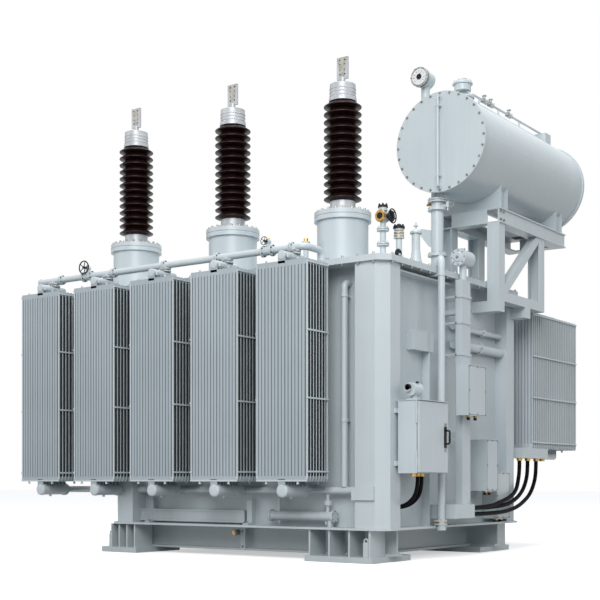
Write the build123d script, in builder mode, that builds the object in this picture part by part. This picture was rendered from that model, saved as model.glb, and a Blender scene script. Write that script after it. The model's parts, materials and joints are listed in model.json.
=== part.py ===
# Oil filled power transformer with plate radiators, three high voltage bushings and a conservator.
# X runs along the long side towards the cabinet end, Y from the front radiators to the rear, Z up.
# The origin lies on the ground under the middle of the whole machine. Lengths are in millimetres.
import os
from itertools import product
from math import hypot, pi, radians, sqrt, tan

from build123d import *

os.makedirs("parts", exist_ok=True)

# Main tank: outer faces of the corner columns, walls set back behind them
tank_length = 3050.0
tank_depth = 2500.0
cover_top = 2512.0
cover_plate = 25.0
cover_overhang = 30.0
flange_plate = 18.0
flange_top = 288.0
flange_overhang = 25.0
end_recess = 120.0
front_recess = 180.0
column_width = 283.0
column_depth = 250.0
column_chamfer = 91.0
column_top_gap = 60.0

# Front radiator bank
radiator_count = 5
radiator_pitch = 720.0
panel_width = 520.0
panel_bottom = 670.0
panel_top = 2480.0
panel_thick = 12.0
front_panel_pitch = 42.0
front_panels = 8
panel_flutes = 7
flute_depth = 5.0
flute_edge = 18.0
flute_land = 20.0
radiator_right_gap = 521.0
radiator_gap = 35.0
tie_bar = 14.0
tie_shares = (0.045, 0.375, 0.68, 0.985)

# Rear radiator bank
rear_count = 4
rear_panels = 25
rear_panel_pitch = 46.0
rear_pitch = 700.0
rear_bottom = 1000.0
rear_top = 2358.0
rear_right = 25.0
rear_wall_gap = 288.0
rear_nose = 20.0

# Radiator headers and pipes
header_radius = 53.0
header_drop = 22.0
header_cap = 16.0
header_cap_proud = 5.0
header_nose = 4.0
neck_sink = 12.0
upper_pipe_radius = 30.0
upper_pipe_z = 2622.0
upper_pipe_left = 60.0
upper_pipe_right = 160.0
lower_pipe_radius = 31.0
lower_pipe_end = 60.0
lower_stub_radius = 27.0
valve_radius = 34.0
valve_height = 40.0
riser_radius = 29.0
riser_top = 2330.0
riser_bend = 90.0
clamp_width = 24.0
clamp_proud = 7.0
clamp_shares = (0.33, 0.93)

# Bushings and turrets
bushing_count = 3
bushing_pitch = 1230.0
bushing_from_right = 731.0
bushing_from_front = 500.0
turret_radius = 225.0
turret_top = 3012.0
turret_flange_radius = 250.0
turret_flange = 38.0
turret_gap = 3.0
base_radius = 112.0
base_height = 100.0
base_skirt_radius = 150.0
base_skirt = 30.0
shed_count = 13
shed_radius = 166.0
shed_low_share = 0.3
shed_high_share = 0.38
core_radius = 104.0
insulator_height = 875.0
cap_radius = 114.0
cap_height = 150.0
cap_lip = 24.0
cap_proud = 8.0
palm_width = 114.0
palm_height = 175.0
palm_thick = 18.0
palm_stem_radius = 24.0
palm_stem = 70.0
palm_hole = 14.0
palm_hole_pitch = 50.0

# Conservator and its frame
conservator_radius = 435.0
conservator_wall = 8.0
conservator_length = 2250.0
conservator_near = 1200.0
conservator_in = 150.0
conservator_z = 3713.0
end_plate = 12.0
end_rim_proud = 15.0
end_rim_width = 20.0
beam_width = 120.0
beam_depth = 135.0
beam_plate = 12.0
beam_top = 3193.0
beam_near = 1763.0
beam_length = 1516.0
beam_out = 155.0
post_width = 120.0
post_depth = 125.0
rear_post_near = 2655.0
chord_top = 2430.0
chord_depth = 90.0
inner_rear_post_near = 2330.0
bracket_depth = 100.0
brace_width = 78.0
brace_depth = 80.0
saddle_near = 40.0
saddle_far = 1300.0
saddle_width = 150.0
saddle_plate = 14.0
saddle_wrap = 12.0
saddle_rib_in = 40.0
gauge_in = 188.0
gauge_back = 60.0
gauge_lift = 170.0
gauge_radius = 80.0
gauge_depth = 110.0
gauge_lip = 8.0
gauge_stub_radius = 40.0
dome_back = 420.0
dome_height = 60.0
dome_radius = 95.0
dome_lid = 14.0
dome_bow = 70.0
dome_bow_height = 65.0
dome_bow_bend = 35.0
dome_bow_radius = 7.0
breather_lift = 45.0
breather_box_in = 220.0
breather_out = 60.0
breather_radius = 14.0
breather_stem_radius = 10.0
breather_shares = (0.1, 0.5, 0.85)
breather_box = 130.0

# Feet and base
foot_plate = 50.0
foot_length = 670.0
foot_depth = 620.0
left_foot_length = 444.0
foot_in = 105.0
left_foot_out = 100.0
foot_out = 20.0
beam_face_in = 235.0
base_web = 20.0
gusset = 16.0

# Control cabinet, on two rails beside the right front column, with a hinged door
cabinet_near = 180.0
cabinet_width = 480.0
cabinet_bottom = 738.0
cabinet_height = 592.0
cabinet_depth = 175.0
cabinet_wall = 3.0
cabinet_roof = 6.0
cabinet_roof_lip = 8.0
rail_plate = 20.0
rail_height = 40.0
rail_near = 150.0
rail_margin = 60.0
door_thick = 20.0
door_gap = 6.0
door_skin = 3.0
door_margin = 6.0
hinge_radius = 7.0
hinge_stand = 3.0
hinge_pin_radius = 3.0
hinge_pin_gap = 0.5
hinge_height = 60.0
hinge_gap = 1.0
hinge_leaf = 4.0
hinge_share = 0.16
knuckle_shares = (-1.5, 0.5)
handle_share = 0.51
handle_in = 46.0
handle_base = 26.0
handle_base_height = 150.0
handle_plate = 8.0
handle_reach = 34.0
handle_grip_radius = 8.0
handle_grip_height = 110.0
handle_bend = 18.0
motor_radius = 55.0
motor_length = 130.0
motor_lift = 62.0
motor_base = 90.0
motor_base_height = 14.0
motor_cap_radius = 22.0
motor_cap_length = 40.0
motor_in = 105.0
cabinet_gland_spots = (225.0, 291.0, 357.0)

# Routes of the conduits and cables, from the end plane and the front plane of the columns
conduit_routes = (
    ((140, 291, 712), (140, 291, 596), (74, 288, 499), (-34, 285, 455), (-110, 285, 455)),
    ((140, 357, 712), (140, 357, 596), (74, 354, 499), (-34, 351, 455), (-110, 351, 455)),
)
cable_routes = (
    (
        (0, 2537, 874), (0, 2537, 774), (6, 2496, 680), (33, 2398, 594),
        (78, 2203, 532), (106, 1927, 483), (135, 1589, 437), (135, 1250, 437),
    ),
    (
        (0, 2725, 874), (0, 2725, 770), (2, 2682, 668), (12, 2575, 572),
        (45, 2370, 503), (84, 2090, 452), (76, 1745, 432), (80, 1500, 433), (80, 1250, 433),
    ),
    (
        (0, 2925, 874), (0, 2925, 765), (2, 2880, 655), (10, 2760, 540),
        (45, 2520, 466), (90, 2240, 412), (108, 1920, 384), (110, 1560, 378), (110, 1250, 378),
    ),
)
gland_spots = (2537.0, 2725.0, 2925.0, 3070.0)

overrun = 10.0

# Pocket at the left end and stiffeners
pocket_length = 430.0
pocket_bottom = 1250.0
pocket_slope = 60.0
pocket_side_gap = 12.0
rib_plate = 14.0
rib_proud = 95.0
rim_rib_drop = 52.0
end_rib_margin = 6.0
end_rib_length = 1060.0
rib_near = 830.0
rib_top = 1790.0
shelf_near = 560.0
shelf_far = 900.0
shelf_height = 170.0
shelf_proud = 70.0
channel_bottom = 302.0
channel_height = 112.0
channel_proud = 70.0
channel_web_in = 12.0
channel_right_gap = 1527.0

# Beams and gussets of the base
base_beam_width = 150.0
base_plate = 20.0
base_beam_web_in = 60.0
base_end_in = 60.0
cross_in = 320.0
gusset_margin = 30.0
gusset_count = 4

# Pipes at the front
collector_from_wall = 80.0
upper_header_radius = 38.0
upper_header_lift = 12.0
neck_width = 80.0
upper_pipe_back = 191.0
upper_pipe_turn = 100.0
upper_pipe_bend = 60.0
riser_from_right = 450.0
sleeve_bottom = 518.0
sleeve_height = 108.0
sleeve_proud = 22.0
sleeve_left = 22.0
drain_radius = 40.0
drain_z = 377.0
drain_left_gap = 1216.0
drain_right_gap = 545.0
drain_link_gap = 617.0
drain_link_radius = 16.0
drain_flange_radius = 52.0
drain_flange = 20.0
drain_post_gap = 590.0
drain_post = 36.0
drain_cock_radius = 9.0
drain_cock = 70.0
drain_cock_margin = 90.0

# Fittings on the cover and pipes at the right end
main_pipe_radius = 57.0
main_pipe_in = 255.0
main_pipe_near = 1343.0
main_pipe_bottom = 2715.0
thin_pipe_radius = 31.0
thin_pipe_out = 66.0
thin_pipe_near = 830.0
thin_pipe_lip = 9.0
pipe_flange_radius = 88.0
pipe_flange = 26.0
main_pipe_top_flange = 3130.0
thin_pipe_top = 2600.0
thin_pipe_drop = 10.0
fitting_flange = 16.0
fitting_lip = 14.0
fitting_spots = (
    (246.0, 380.0, 25.0, 2950.0),
    (149.0, 480.0, 26.0, 2790.0),
    (71.0, 630.0, 36.0, 2781.0),
    (935.0, 230.0, 22.0, 2731.0),
)
duct_in = 32.0
duct_out = 100.0
duct_near = 1150.0
duct_width = 153.0
duct_top = 2450.0
duct_tie = 40.0
duct_tie_shares = (0.3, 0.85)
relief_radius = 75.0
relief_length = 190.0
relief_z = 2645.0
relief_neck_radius = 32.0

# Boxes at the right end, placed from the end plane and the front plane of the corner columns
upper_box_near = 1022.0
upper_box_width = 329.0
upper_box_bottom = 1246.0
upper_box_height = 436.0
upper_box_front = 228.0
lower_box_near = 1640.0
lower_box_width = 227.0
lower_box_bottom = 584.0
lower_box_height = 470.0
lower_box_front = 94.0
rear_box_near = 1980.0
rear_box_width = 270.0
rear_box_bottom = 320.0
rear_box_height = 435.0
rear_box_front = 30.0
gland_box_width = 620.0
gland_box_front = 45.0
gland_box_depth = 100.0
gland_box_height = 100.0
box_round = 8.0
box_lid = 12.0
box_lid_lip = 4.0
cable_duct_near = 885.0
cable_duct_far = 1250.0
cable_duct_bottom = 350.0
cable_duct_height = 120.0
cable_duct_out = 170.0
conduit_box_near = 255.0
conduit_box_width = 135.0
conduit_box_bottom = 416.0
conduit_box_height = 80.0
conduit_box_depth = 10.0
gland_radius = 22.0
gland_height = 26.0
big_gland_radius = 28.0
cable_radius = 19.0
conduit_radius = 16.0

# Where the tank stands, so that the middle of the whole machine is at the origin
panel_depth = (front_panels - 1) * front_panel_pitch + panel_thick
radiator_front_reach = panel_depth + radiator_gap + header_nose
left_reach = radiator_right_gap + (radiator_count - 1) * radiator_pitch + panel_width + tie_bar / 2
right_reach = conservator_radius + end_rim_proud - conservator_in
rear_depth = (rear_panels - 1) * rear_panel_pitch + panel_thick
rear_reach = tank_depth + rear_wall_gap + rear_depth
tank_right = (left_reach - right_reach) / 2
tank_left = tank_right - tank_length
tank_front = (radiator_front_reach - rear_reach) / 2
tank_back = tank_front + tank_depth
end_wall = tank_right - end_recess
left_wall = tank_left + end_recess
front_wall = tank_front + front_recess
back_wall = tank_back - front_recess
cover_bottom = cover_top - 2 * cover_plate
flange_bottom = flange_top - flange_plate
column_top = cover_bottom - column_top_gap
pocket_left = tank_left - pocket_length
pocket_front = tank_front + column_depth + pocket_side_gap
pocket_back = tank_back - column_depth - pocket_side_gap
rim_rib_z = cover_bottom - rim_rib_drop
end_rib_near = tank_front + column_depth + end_rib_margin
rib_y = tank_front + rib_near


def bar(x0, x1, y0, y1, z0, z1, mode=Mode.ADD):
    """Rectangular bar between two corners, in the open part."""
    with Locations(((x0 + x1) / 2, (y0 + y1) / 2, (z0 + z1) / 2)):
        Box(x1 - x0, y1 - y0, z1 - z0, mode=mode)


def rod_x(x0, x1, y, z, radius, mode=Mode.ADD):
    """Round bar along X."""
    with Locations(((x0 + x1) / 2, y, z)):
        Cylinder(radius, x1 - x0, rotation=(0, 90, 0), mode=mode)


def rod_y(x, y0, y1, z, radius, mode=Mode.ADD):
    """Round bar along Y."""
    with Locations((x, (y0 + y1) / 2, z)):
        Cylinder(radius, y1 - y0, rotation=(90, 0, 0), mode=mode)


def rod_z(x, y, z0, z1, radius, mode=Mode.ADD):
    """Upright round bar."""
    with Locations((x, y, (z0 + z1) / 2)):
        Cylinder(radius, z1 - z0, mode=mode)


def keep(piece, name):
    """Label a finished piece and write it."""
    piece.part.label = name
    export_step(piece.part, "parts/" + name + ".step")


def turn_radii(points):
    """Arc radius for each corner of a cord: 0.45 of the shorter run over the tangent of half the turn."""
    radii = []
    for before, here, after in zip(points, points[1:], points[2:]):
        run_in = Vector(*here) - Vector(*before)
        run_out = Vector(*after) - Vector(*here)
        half_turn = radians(run_in.get_angle(run_out)) / 2
        radii.append(0.45 * min(run_in.length, run_out.length) / tan(half_turn))
    return radii


def cut_to_shell():
    """Cut the open part to the outside of the conservator's shell."""
    rod_y(axis_x, shell_y0, shell_y1, conservator_z, conservator_radius, mode=Mode.SUBTRACT)


def tank_plan(z, margin):
    """Outline of the tank foot with its cut corners, a margin outside the columns."""
    with BuildSketch(Plane.XY.offset(z)) as plan:
        with Locations(((tank_left + tank_right) / 2, (tank_front + tank_back) / 2)):
            Rectangle(tank_length + 2 * margin, tank_depth + 2 * margin)
        chamfer(plan.vertices(), column_chamfer)
    return plan.sketch


def cover_plan(z):
    """Outline of the cover, which also reaches over the pocket at the left end."""
    x0 = pocket_left - cover_overhang
    x1 = tank_right + cover_overhang
    with BuildSketch(Plane.XY.offset(z)) as plan:
        with Locations(((x0 + x1) / 2, (tank_front + tank_back) / 2)):
            Rectangle(x1 - x0, tank_depth + 2 * cover_overhang)
        chamfer(plan.vertices(), column_chamfer)
    return plan.sketch


# Tank body: walls set back between the columns, closed and filled by core, windings and oil
with BuildPart() as tank_body:
    bar(left_wall, end_wall, front_wall, back_wall, flange_top, cover_bottom)
keep(tank_body, "tank_body")

# Raised pocket at the left end, under the left turret
with BuildPart() as left_pocket:
    bar(pocket_left, left_wall, pocket_front, pocket_back, pocket_bottom, cover_bottom)
    chamfer(left_pocket.faces().sort_by(Axis.Z)[0].edges().sort_by(Axis.X)[0], pocket_slope)
keep(left_pocket, "left_pocket")

# Bottom flange round the tank foot
with BuildPart() as bottom_flange:
    extrude(tank_plan(flange_bottom, flange_overhang), amount=flange_plate)
keep(bottom_flange, "bottom_flange")

# Flange on the tank rim and the cover bolted on it, two like plates
with BuildPart() as tank_flange:
    extrude(cover_plan(cover_bottom), amount=cover_plate)
keep(tank_flange, "tank_flange")
with BuildPart() as cover:
    extrude(cover_plan(cover_bottom + cover_plate), amount=cover_plate)
keep(cover, "cover")

# Corner columns: folded plate with a cut outer corner, wrapped round each corner of the walls
with BuildPart() as corner_columns:
    with BuildSketch(Plane.XY.offset(flange_top)):
        for x, y in product((tank_left, tank_right), (tank_front, tank_back)):
            inward_x = 1 if x == tank_left else -1
            inward_y = 1 if y == tank_front else -1
            with BuildLine():
                Polyline(
                    (x + inward_x * column_chamfer, y),
                    (x + inward_x * column_width, y),
                    (x + inward_x * column_width, y + inward_y * column_depth),
                    (x, y + inward_y * column_depth),
                    (x, y + inward_y * column_chamfer),
                    close=True,
                )
            make_face()
    extrude(amount=column_top - flange_top)
    bar(left_wall, end_wall, front_wall, back_wall, flange_top, cover_bottom, mode=Mode.SUBTRACT)
keep(corner_columns, "corner_columns")

# Stiffeners: a rib under the rim and box ribs on the end wall, and a channel along the front wall
with BuildPart() as wall_stiffeners:
    bar(
        end_wall, end_wall + rib_proud, end_rib_near, end_rib_near + end_rib_length,
        rim_rib_z, rim_rib_z + rib_plate,
    )
    bar(end_wall, end_wall + shelf_proud, rib_y, rib_y + rib_plate, flange_top, rib_top)
    shelf = (tank_front + shelf_near, tank_front + shelf_far)
    bar(end_wall, end_wall + shelf_proud, shelf[0], shelf[1], rib_top, rib_top + shelf_height)
    x0 = tank_left + column_width
    x1 = tank_right - channel_right_gap
    for z in (channel_bottom, channel_bottom + channel_height - rib_plate):
        bar(x0, x1, front_wall - channel_proud, front_wall, z, z + rib_plate)
    web = front_wall - channel_proud + channel_web_in
    bar(x0, x1, web, web + rib_plate, channel_bottom, channel_bottom + channel_height)
keep(wall_stiffeners, "wall_stiffeners")

# Feet: four thick plates on the ground
right_foot = (tank_right - foot_in - foot_length, tank_right - foot_in)
left_foot = (tank_left - left_foot_out, tank_left - left_foot_out + left_foot_length)
front_foot_y = tank_front - foot_out
rear_foot_y = tank_back + foot_out - foot_depth
foot_spots = (
    (*right_foot, front_foot_y),
    (*right_foot, rear_foot_y),
    (*left_foot, front_foot_y),
    (*left_foot, rear_foot_y),
)
with BuildPart() as foot_plates:
    for x0, x1, y0 in foot_spots:
        bar(x0, x1, y0, y0 + foot_depth, 0, foot_plate)
keep(foot_plates, "foot_plates")

# Base: two long beams and two cross beams, and upright gussets over each foot
beam_y = (tank_front + beam_face_in, tank_back - beam_face_in - base_beam_width)
cross_x = (tank_left + cross_in, tank_right - cross_in - base_beam_width)
base_right = tank_right - base_end_in
sole_top = foot_plate + base_plate
with BuildPart() as base_frame:
    for y0 in beam_y:
        bar(tank_left, base_right, y0, y0 + base_beam_width, foot_plate, sole_top)
        web = y0 + base_beam_web_in
        bar(tank_left, base_right, web, web + base_web, foot_plate, flange_bottom)
    web_y0 = beam_y[0] + base_beam_web_in
    web_y1 = beam_y[1] + base_beam_web_in
    for x0 in cross_x:
        bar(x0, x0 + base_beam_width, beam_y[0] + base_beam_width, beam_y[1], foot_plate, sole_top)
        web = x0 + base_beam_web_in
        bar(web, web + base_web, web_y0, web_y1, foot_plate, flange_bottom)
keep(base_frame, "base_frame")
with BuildPart() as base_gussets:
    for x0, x1, y0 in foot_spots:
        low_x = max(x0 + gusset_margin, tank_left)
        high_x = min(x1 - gusset_margin, tank_right)
        front = y0 < 0
        y_out = tank_front if front else tank_back
        y_in = beam_y[0] if front else beam_y[1] + base_beam_width
        for step in range(gusset_count):
            x = low_x + (high_x - low_x - gusset) * step / (gusset_count - 1)
            bar(x, x + gusset, min(y_out, y_in), max(y_out, y_in), foot_plate, flange_bottom)
keep(base_gussets, "base_gussets")


def radiator(count, pitch, bottom, top, lower_radius, lower_front, lower_back, upper_front):
    """Pack of upright pressed panels on two headers, its right edge at X 0 and its first panel at Y 0."""
    centre = -panel_width / 2
    depth = (count - 1) * pitch + panel_thick
    groove_pitch = (panel_width - 2 * flute_edge) / panel_flutes
    with BuildPart() as pack:
        with BuildSketch(Plane.XY.offset(bottom)):
            with Locations(*[(centre, row * pitch + panel_thick / 2) for row in range(count)]):
                Rectangle(panel_width, panel_thick)
            with Locations((centre, 0)):
                with GridLocations(groove_pitch, 0, panel_flutes - 1, 1):
                    Rectangle(flute_land, 2 * flute_depth, mode=Mode.SUBTRACT)
        extrude(amount=top - bottom)
        ties = [
            (x, depth / 2, bottom + (top - bottom) * share)
            for x in (-panel_width, 0)
            for share in tie_shares
        ]
        with Locations(*ties):
            Box(tie_bar, depth, tie_bar)
        neck = (centre - neck_width / 2, centre + neck_width / 2, 0, depth)
        bar(*neck, bottom - header_drop - neck_sink, bottom)
        bar(*neck, top, top + upper_header_lift + neck_sink)
        rod_y(centre, lower_front, lower_back, bottom - header_drop - lower_radius, lower_radius)
        upper_z = top + upper_header_lift + upper_header_radius
        rod_y(centre, upper_front, depth, upper_z, upper_header_radius)
    return pack


# Front radiators, from left to right, each with its own upper and lower header
front_near = tank_front - panel_depth - radiator_gap
collector_y = front_wall - collector_from_wall
collector_z = panel_bottom - header_drop - header_radius
upper_header_z = panel_top + upper_header_lift + upper_header_radius
radiator_rights = [
    tank_right - radiator_right_gap - (radiator_count - 1 - index) * radiator_pitch
    for index in range(radiator_count)
]
front_pack = radiator(
    front_panels, front_panel_pitch, panel_bottom, panel_top, header_radius,
    0, panel_depth + radiator_gap, 0,
)
with BuildPart() as front_pattern:
    add(front_pack.part)
    rod_y(-panel_width / 2, -header_nose, header_cap, collector_z, header_radius + header_cap_proud)
for index, right in enumerate(radiator_rights):
    with BuildPart() as front_radiator:
        add(front_pattern.part.moved(Location((right, front_near, 0))))
    keep(front_radiator, "front_radiator_" + str(index + 1))

# Rear radiators: packs of many panels behind the tank
rear_near = tank_back + rear_wall_gap
rear_pack = radiator(
    rear_panels, rear_panel_pitch, rear_bottom, rear_top, upper_header_radius,
    -rear_nose, rear_depth, -rear_nose,
)
rear_rights = [tank_right + rear_right - index * rear_pitch for index in range(rear_count)]
with BuildPart() as rear_radiators:
    add([rear_pack.part.moved(Location((right, rear_near, 0))) for right in rear_rights])
keep(rear_radiators, "rear_radiators")
rear_header_zs = (
    rear_bottom - header_drop - upper_header_radius,
    rear_top + upper_header_lift + upper_header_radius,
)
with BuildPart() as rear_stubs:
    for index, right in enumerate(rear_rights):
        wall = tank_back if index == 0 else back_wall
        for z in rear_header_zs:
            rod_y(right - panel_width / 2, wall, rear_near - rear_nose, z, upper_header_radius)
keep(rear_stubs, "rear_stubs")

# Upper collector pipe over the front radiators, with a valve over each, turned down on to the cover
front_centres = [right - panel_width / 2 for right in radiator_rights]
upper_pipe_y = front_near + upper_pipe_back
upper_pipe_x0 = radiator_rights[0] - panel_width + upper_pipe_left
upper_pipe_x1 = tank_right - radiator_right_gap - upper_pipe_right
upper_pipe_inner_y = tank_front + upper_pipe_turn
with BuildPart() as upper_pipe:
    with BuildLine():
        FilletPolyline(
            (upper_pipe_x0, upper_pipe_y, upper_pipe_z),
            (upper_pipe_x1, upper_pipe_y, upper_pipe_z),
            (upper_pipe_x1, upper_pipe_inner_y, upper_pipe_z),
            (upper_pipe_x1, upper_pipe_inner_y, cover_top),
            radius=upper_pipe_bend,
        )
    with BuildSketch(Plane.YZ.offset(upper_pipe_x0)):
        with Locations((upper_pipe_y, upper_pipe_z)):
            Circle(upper_pipe_radius)
    sweep()
    for centre in front_centres:
        rod_z(centre, upper_pipe_y, upper_header_z + upper_header_radius, upper_pipe_z, valve_radius)
    pipe_cap_radius = upper_pipe_radius + header_cap_proud
    rod_x(upper_pipe_x0, upper_pipe_x0 + header_cap, upper_pipe_y, upper_pipe_z, pipe_cap_radius)
    rod_z(upper_pipe_x1, upper_pipe_inner_y, cover_top, cover_top + drain_flange, drain_flange_radius)
keep(upper_pipe, "upper_pipe")

# Lower collector pipe behind the header stubs, with stubs to the wall and a box round the corner column
collector_x0 = front_centres[0] - lower_pipe_end
sleeve_x0 = tank_right - column_width - sleeve_left
with BuildPart() as lower_pipe:
    rod_x(collector_x0, sleeve_x0, collector_y, collector_z, lower_pipe_radius)
    rod_y(front_centres[0], tank_front, collector_y, collector_z, lower_stub_radius)
    for centre in front_centres[2:]:
        rod_y(centre, tank_front, front_wall, collector_z, lower_stub_radius)
    bar(
        sleeve_x0, tank_right - column_chamfer, tank_front - sleeve_proud, front_wall,
        sleeve_bottom, sleeve_bottom + sleeve_height,
    )
    for x0 in (tank_left, tank_right - column_width):
        bar(
            x0, x0 + column_width, tank_front, tank_back,
            sleeve_bottom - overrun, sleeve_bottom + sleeve_height + overrun, mode=Mode.SUBTRACT,
        )
keep(lower_pipe, "lower_pipe")

# Riser pipe beside the right column, bent back into the wall at its top, with two clamps to the column
riser_x = tank_right - riser_from_right
with BuildPart() as riser_pipe:
    with BuildLine():
        FilletPolyline(
            (riser_x, collector_y, collector_z + lower_pipe_radius),
            (riser_x, collector_y, riser_top),
            (riser_x, front_wall, riser_top),
            radius=riser_bend / 2,
        )
    with BuildSketch(Plane.XY.offset(collector_z + lower_pipe_radius)):
        with Locations((riser_x, collector_y)):
            Circle(riser_radius)
    sweep()
    for share in clamp_shares:
        z = collector_z + (riser_top - collector_z) * share
        half = clamp_width / 2
        bar(riser_x - half, riser_x + half, collector_y, front_wall, z, z + clamp_width)
        rod_z(riser_x, collector_y, z, z + clamp_width, riser_radius + clamp_proud)
keep(riser_pipe, "riser_pipe")

# Drain pipe under the right radiator, on a post, linked to the collector by a valve
drain_x0 = tank_right - drain_left_gap
drain_x1 = tank_right - drain_right_gap
link_x = tank_right - drain_link_gap
with BuildPart() as drain_pipe:
    rod_x(drain_x0, drain_x1, collector_y, drain_z, drain_radius)
    for x in (drain_x0, drain_x1 - drain_flange):
        rod_x(x, x + drain_flange, collector_y, drain_z, drain_flange_radius)
    rod_z(link_x, collector_y, drain_z, collector_z - lower_pipe_radius, drain_link_radius)
    cock_xs = (drain_x0 + drain_cock_margin, drain_x1 - drain_cock_margin)
    rod_z(cock_xs[0], collector_y, drain_z, collector_z - lower_pipe_radius, drain_link_radius)
    for x in cock_xs:
        rod_z(x, collector_y, drain_z - drain_cock, drain_z, drain_cock_radius)
    middle = (drain_z + drain_radius + collector_z - lower_pipe_radius) / 2
    rod_z(link_x, collector_y, middle - valve_height / 2, middle + valve_height / 2, valve_radius)
    x = tank_right - drain_post_gap
    bar(
        x - drain_post / 2, x + drain_post / 2, collector_y - drain_post / 2, collector_y + drain_post / 2,
        flange_top, drain_z,
    )
keep(drain_pipe, "drain_pipe")

# Turrets and bushings, from left to right
bushing_y = tank_front + bushing_from_front
bushing_xs = [
    tank_right - bushing_from_right - (bushing_count - 1 - index) * bushing_pitch
    for index in range(bushing_count)
]
insulator_bottom = turret_top + base_height
shed_pitch = insulator_height / shed_count
for index, x in enumerate(bushing_xs):
    name = str(index + 1)
    with BuildPart() as turret:
        rod_z(x, bushing_y, cover_top, turret_top - turret_flange, turret_radius)
        lower_top = turret_top - turret_flange - turret_gap
        rod_z(x, bushing_y, lower_top - turret_flange, lower_top, turret_flange_radius)
        rod_z(x, bushing_y, turret_top - turret_flange, turret_top, turret_flange_radius)
    keep(turret, "turret_" + name)
    with BuildPart() as insulator:
        with BuildSketch(Plane.XZ.offset(-bushing_y)):
            with BuildLine():
                outline = [(x, insulator_bottom)]
                for shed in range(shed_count):
                    z = insulator_bottom + shed * shed_pitch
                    outline.append((x + core_radius, z))
                    outline.append((x + shed_radius, z + shed_pitch * shed_low_share))
                    outline.append((x + shed_radius, z + shed_pitch * shed_high_share))
                outline.append((x + core_radius, insulator_bottom + insulator_height))
                outline.append((x, insulator_bottom + insulator_height))
                Polyline(*outline, close=True)
            make_face()
        revolve(axis=Axis((x, bushing_y, 0), (0, 0, 1)))
    keep(insulator, "insulator_" + name)
    cap_bottom = insulator_bottom + insulator_height
    cap_top = cap_bottom + cap_height
    with BuildPart() as fittings:
        rod_z(x, bushing_y, turret_top, turret_top + base_skirt, base_skirt_radius)
        rod_z(x, bushing_y, turret_top, insulator_bottom, base_radius)
        rod_z(x, bushing_y, cap_bottom, cap_top, cap_radius)
        rod_z(x, bushing_y, cap_bottom, cap_bottom + cap_lip, cap_radius + cap_proud)
        rod_z(x, bushing_y, cap_top, cap_top + palm_stem, palm_stem_radius)
        bar(
            x - palm_width / 2, x + palm_width / 2, bushing_y - palm_thick / 2, bushing_y + palm_thick / 2,
            cap_top + palm_stem - palm_thick, cap_top + palm_stem + palm_height,
        )
        with BuildSketch(Plane.XZ.offset(-bushing_y - palm_thick)) as holes:
            with Locations((x, cap_top + palm_stem + palm_height / 2)):
                with GridLocations(palm_hole_pitch, palm_hole_pitch, 2, 2):
                    Circle(palm_hole / 2)
        extrude(amount=2 * palm_thick, mode=Mode.SUBTRACT)
    keep(fittings, "bushing_fittings_" + name)

# Conservator: shell with a rim at each end, and two bolted end plates
axis_x = tank_right - conservator_in
shell_y0 = tank_front + conservator_near + end_plate
shell_y1 = shell_y0 + conservator_length - 2 * end_plate
rim_radius = conservator_radius + end_rim_proud
with BuildPart() as conservator_shell:
    rod_y(axis_x, shell_y0, shell_y1, conservator_z, conservator_radius)
    for y0 in (shell_y0, shell_y1 - end_rim_width):
        rod_y(axis_x, y0, y0 + end_rim_width, conservator_z, rim_radius)
    rod_y(
        axis_x, shell_y0 - overrun, shell_y1 + overrun, conservator_z,
        conservator_radius - conservator_wall, mode=Mode.SUBTRACT,
    )
keep(conservator_shell, "conservator_shell")
for name, y0 in (("front", shell_y0 - end_plate), ("rear", shell_y1)):
    with BuildPart() as conservator_end:
        rod_y(axis_x, y0, y0 + end_plate, conservator_z, rim_radius)
    keep(conservator_end, "conservator_end_" + name)

# Saddles: two cradle plates each, with ribs, cut to the shell
frame_x1 = tank_right + beam_out
frame_x0 = 2 * axis_x - frame_x1
frame_y0 = tank_front + beam_near
frame_y1 = frame_y0 + beam_length
beam_bottom = beam_top - beam_depth
saddle_top = conservator_z - sqrt(conservator_radius**2 - (frame_x1 - axis_x) ** 2) + saddle_wrap
with BuildPart() as saddles:
    for y0 in (frame_y0 + saddle_near, frame_y0 + saddle_far):
        for y in (y0, y0 + saddle_width - saddle_plate):
            bar(frame_x0, frame_x1, y, y + saddle_plate, beam_top, saddle_top)
        rib_xs = (
            frame_x0 + saddle_rib_in,
            axis_x - saddle_plate / 2,
            frame_x1 - saddle_rib_in - saddle_plate,
        )
        for x in rib_xs:
            bar(x, x + saddle_plate, y0, y0 + saddle_width, beam_top, saddle_top)
    cut_to_shell()
keep(saddles, "conservator_saddles")

# Support frame: two long channels with two cross channels between them
with BuildPart() as frame_beams:
    for x0, web in ((frame_x0, frame_x0), (frame_x1 - beam_width, frame_x1 - beam_plate)):
        bar(web, web + beam_plate, frame_y0, frame_y1, beam_bottom, beam_top)
        for z in (beam_bottom, beam_top - beam_plate):
            bar(x0, x0 + beam_width, frame_y0, frame_y1, z, z + beam_plate)
    x0 = frame_x0 + beam_width
    x1 = frame_x1 - beam_width
    for y0, web in ((frame_y0, frame_y0), (frame_y1 - beam_width, frame_y1 - beam_plate)):
        bar(x0, x1, web, web + beam_plate, beam_bottom, beam_top)
        for z in (beam_bottom, beam_top - beam_plate):
            bar(x0, x1, y0, y0 + beam_width, z, z + beam_plate)
keep(frame_beams, "frame_beams")

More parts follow.
